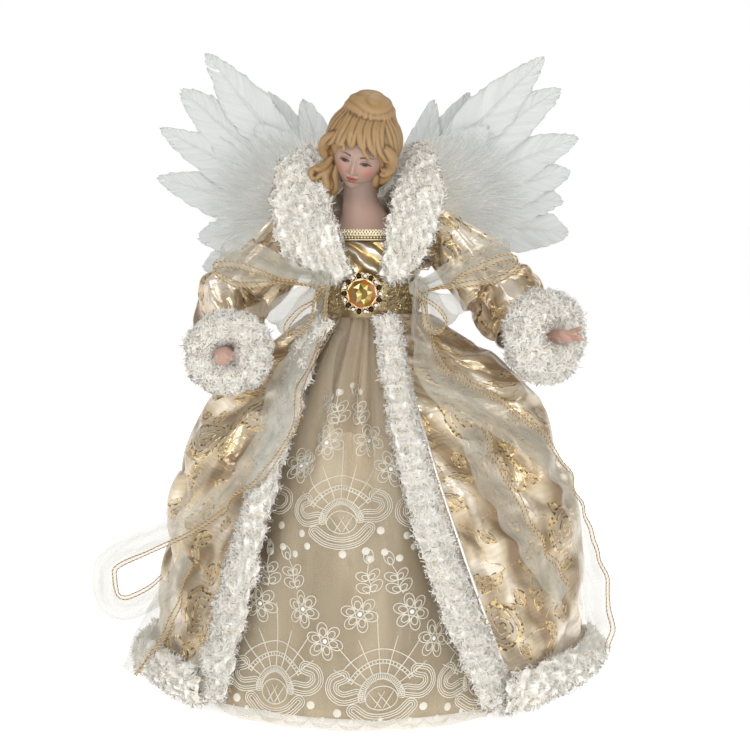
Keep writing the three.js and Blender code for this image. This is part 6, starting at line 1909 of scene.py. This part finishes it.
def ribbon(node, grid, sheer, cord_paint):
    """A strip of sheer ribbon with two twisted cords along one edge."""
    name = f"{node}_organza"
    obj = cloth_object(name, grid)
    place(obj, "figure", sheer, "ribbon", node)
    shell = Shell()
    for edge in (grid[:, -3], grid[:, -1]):
        twisted_cord(shell, edge)
    cords = place(shell.object(f"{name}_cords"), "figure", cord_paint, "gold_braid")
    long = np.linalg.norm(np.diff(grid, axis=0), axis=2).sum(0).mean() * MM
    area = min(cloth_area(grid), RIBBON_WIDTH * MM * long)


def bow_loop(side, reach, depth, seed):
    """A loop's surface: out from the knot and back, tilted to show its face."""
    reach = np.array(reach, float)
    t = np.linspace(0, 1, 70)
    share = np.sin(math.pi * t) ** 0.85
    out = unit(FORWARD - unit(reach) * (FORWARD @ unit(reach)))
    beside = unit(np.cross(reach, out))
    beside = beside * np.sign(beside[2])
    opened = ease(share * 1.5)
    sway = LOOP_RISE * np.sin(TURN * t) * opened
    centre = KNOTS[side] + reach * share[:, None] + beside * sway[:, None] + out * (depth * opened)[:, None]
    tilt = math.radians(LOOP_TILT)
    across = np.broadcast_to(out * math.cos(tilt) - beside * math.sin(tilt), centre.shape)
    width = RIBBON_WIDTH * (KNOT_WIDTH + 0.5 * ease(share * 1.35))
    facing = unit(np.cross(unit(np.gradient(centre, axis=0)), across))
    return strip(centre, across, width, facing, seed, 0.8)


def bow_tail(side, label, stations, seed):
    """A tail's surface, down over the coat; the right tail ends in a loop and the right end in a tip."""
    angles, heights, standoffs = np.array(stations, float).T
    limit = COAT_FRONT_LIMIT[side]
    inside = np.minimum(angles, limit) if side == "right" else np.maximum(angles, limit)
    radius = skin_radius("coat_skirt", np.radians(inside)[:, None], heights[:, None])[:, 0]
    points = polar(np.radians(angles), radius + standoffs, heights)
    facing = angles * (1 - FREE_TURN * ease((standoffs / RIBBON_WIDTH - 0.35) / 0.65))
    looped = side == "right" and label == "tail"
    if label == "tail":
        points = np.concatenate([[KNOTS[side] + np.array([0, 1, -5])], points])
        facing = np.concatenate([[0], facing])
    if looped:
        points = np.concatenate([points, TAIL_LOOP])
        facing = np.concatenate([facing, np.zeros(len(TAIL_LOOP))])
    centre = even_path(smooth_path(points, 160), 110)
    along = unit(np.gradient(centre, axis=0))
    facing = np.interp(np.linspace(0, len(points) - 1, len(centre)), np.arange(len(points)), facing)
    faces = polar(np.radians(facing), np.ones(len(centre)), np.full(len(centre), 0.25))
    across = unit(soften(unit(np.cross(faces, along)), 6, 0))
    share = np.linspace(0, 1, len(centre))
    width = RIBBON_WIDTH * np.ones_like(share)
    if label == "tail":
        width = RIBBON_WIDTH * lerp(KNOT_WIDTH, 1.0, ease(share * 4))
    if looped:
        width = width * lerp(1.0, LOOP_WIDTH, ease((share - 0.3) / 0.25))
    elif side == "right":
        width = width * lerp(1.0, END_WIDTH, ease((share - 0.45) / 0.55))
    return strip(centre, across, width, unit(np.cross(along, across)), seed, 1.8)


def bow(side, sheer, cord_paint):
    """A knot with two loops and two tails that fall over the coat."""
    aim, turn, rise = ball(40, 60)
    ridges = 1 + 0.16 * np.sin(turn * 3 + rise * 4) + 0.08 * np.sin(turn * 9)
    shell = Shell()
    shell.add(KNOTS[side] + aim * KNOT_HALF * ridges[..., None], [grid_faces(40, 60, True)], WHITE)
    knot = f"{side}_bow_knot"
    place(shell.object(f"{knot}_wrap"), "figure", sheer, "ribbon", knot)
    for number, (label, reach, depth) in enumerate(LOOPS[side]):
        grid = bow_loop(side, reach, depth, 91 + number + SIDES[side])
        ribbon(f"{side}_bow_loop_{label}", grid, sheer, cord_paint)
    for number, (label, stations) in enumerate(TAILS[side]):
        grid = bow_tail(side, label, stations, 97 + number * 3 + SIDES[side])
        ribbon(f"{side}_ribbon_{label}", grid, sheer, cord_paint)


studio()
white_fur = fur_paint()
# Furs: piece, solid, body, seed, strands, pile, inset, rise and fill
FURS = (
    ("collar_fur", "fur_collar", "figure", 101, 11000, 4.6, 2.0, 0, 0.7),
    ("right_trim_fur", "front_fur_trim_right", "figure", 102, 9800, 4.2, 1.6, 11, 0.8),
    ("left_trim_fur", "front_fur_trim_left", "figure", 103, 9800, 4.2, 1.6, 11, 0.8),
    ("hem_fur", "hem_fur_trim", "figure", 104, 11000, 4.6, 1.8, 0, 0.8),
    ("right_cuff_fur", "right_fur_cuff", "right_arm", 105, 10200, 4.2, 1.4, 0, 0.7),
    ("left_cuff_fur", "left_fur_cuff", "left_arm", 106, 10200, 4.2, 1.4, 0, 0.7),
)
for name, node, body, seed, count, pile, inset, rise, fill in FURS:
    fur(name, node, body, seed, count, pile, inset, rise, white_fur)

brocade = brocade_paint()
satin = satin_paint()
piping = Paint("silver_piping", Base_Color=(0.80, 0.76, 0.70), Metallic=0.7, Roughness=0.35)
coat_skirt(brocade, piping)
for side in SIDES:
    sleeve(side, brocade)
underskirt(satin)
lace = organza_paint("champagne_organza", (0.60, 0.525, 0.39), 0.36, 0.26)
thread, _ = tinted("ivory_thread", Roughness=0.5, Sheen_Weight=0.3)
lace_panel(lace, thread)
lame = lame_paint()
bodice(lame, brocade)
neck_cloth("collar_lining", *LINING, brocade)
neck_cloth("coat_yoke", *YOKE, brocade)
for side in SIDES:
    gusset(side, brocade)
glitter, _ = tinted("gold_glitter", Metallic=0.9, Roughness=0.3)
belt(glitter)
amber, _ = tinted("amber_stone", Roughness=0.04, IOR=1.6)
crystal, _ = tinted("clear_crystal", Metallic=1.0, Roughness=0.05)
gold = Paint("brooch_gold", Base_Color=(0.83, 0.62, 0.30), Metallic=1.0, Roughness=0.25)
brooch(amber, crystal, gold)
feathers, _ = tinted("white_feather", Roughness=0.6, Sheen_Weight=0.1, **FEATHER_GLOW)
marabou, _ = tinted("white_down", Roughness=0.8, **DOWN_GLOW)
for side in SIDES:
    wing(side, feathers, marabou)
skin, _ = tinted("doll_skin", Roughness=0.48, Subsurface_Weight=0.08)
locks, _ = tinted("moulded_hair", Roughness=0.5)
face(skin)
hair(locks)
for side in SIDES:
    hand(side, skin)
braid_gold, _ = tinted("braid_metal", Metallic=0.75, Roughness=0.35)
braid(braid_gold)
sheer = organza_paint("white_organza", (0.39, 0.37, 0.30), 0.47, 0.4, **ORGANZA_GLOW)
cord_paint, _ = tinted("ribbon_cord", Metallic=0.6, Roughness=0.35)
for side in SIDES:
    bow(side, sheer, cord_paint)

card = Paint("card", Base_Color=(0.55, 0.42, 0.28), Roughness=0.85)
felt = Paint("white_felt", Base_Color=(0.90, 0.88, 0.83), Roughness=0.95, Sheen_Weight=0.3)
coat_felt = Paint("coat_felt", Base_Color=(0.40, 0.30, 0.19), Roughness=0.95, Sheen_Weight=0.3)
wire = Paint("wire", Base_Color=(0.65, 0.63, 0.60), Metallic=1.0, Roughness=0.35)
PLAIN_NODES = {
    card: ["support_cone", "torso_form"],
    felt: ["right_wing_card", "left_wing_card"],
    coat_felt: ["wing_plate"],
    wire: ["right_arm_wire", "left_arm_wire", "right_wing_hinge_wire", "left_wing_hinge_wire"],
    gold: ["brooch_cup"],
}
for paint, names in PLAIN_NODES.items():
    for name in names:
        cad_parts[name].data.materials.clear()
        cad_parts[name].data.materials.append(paint.material)
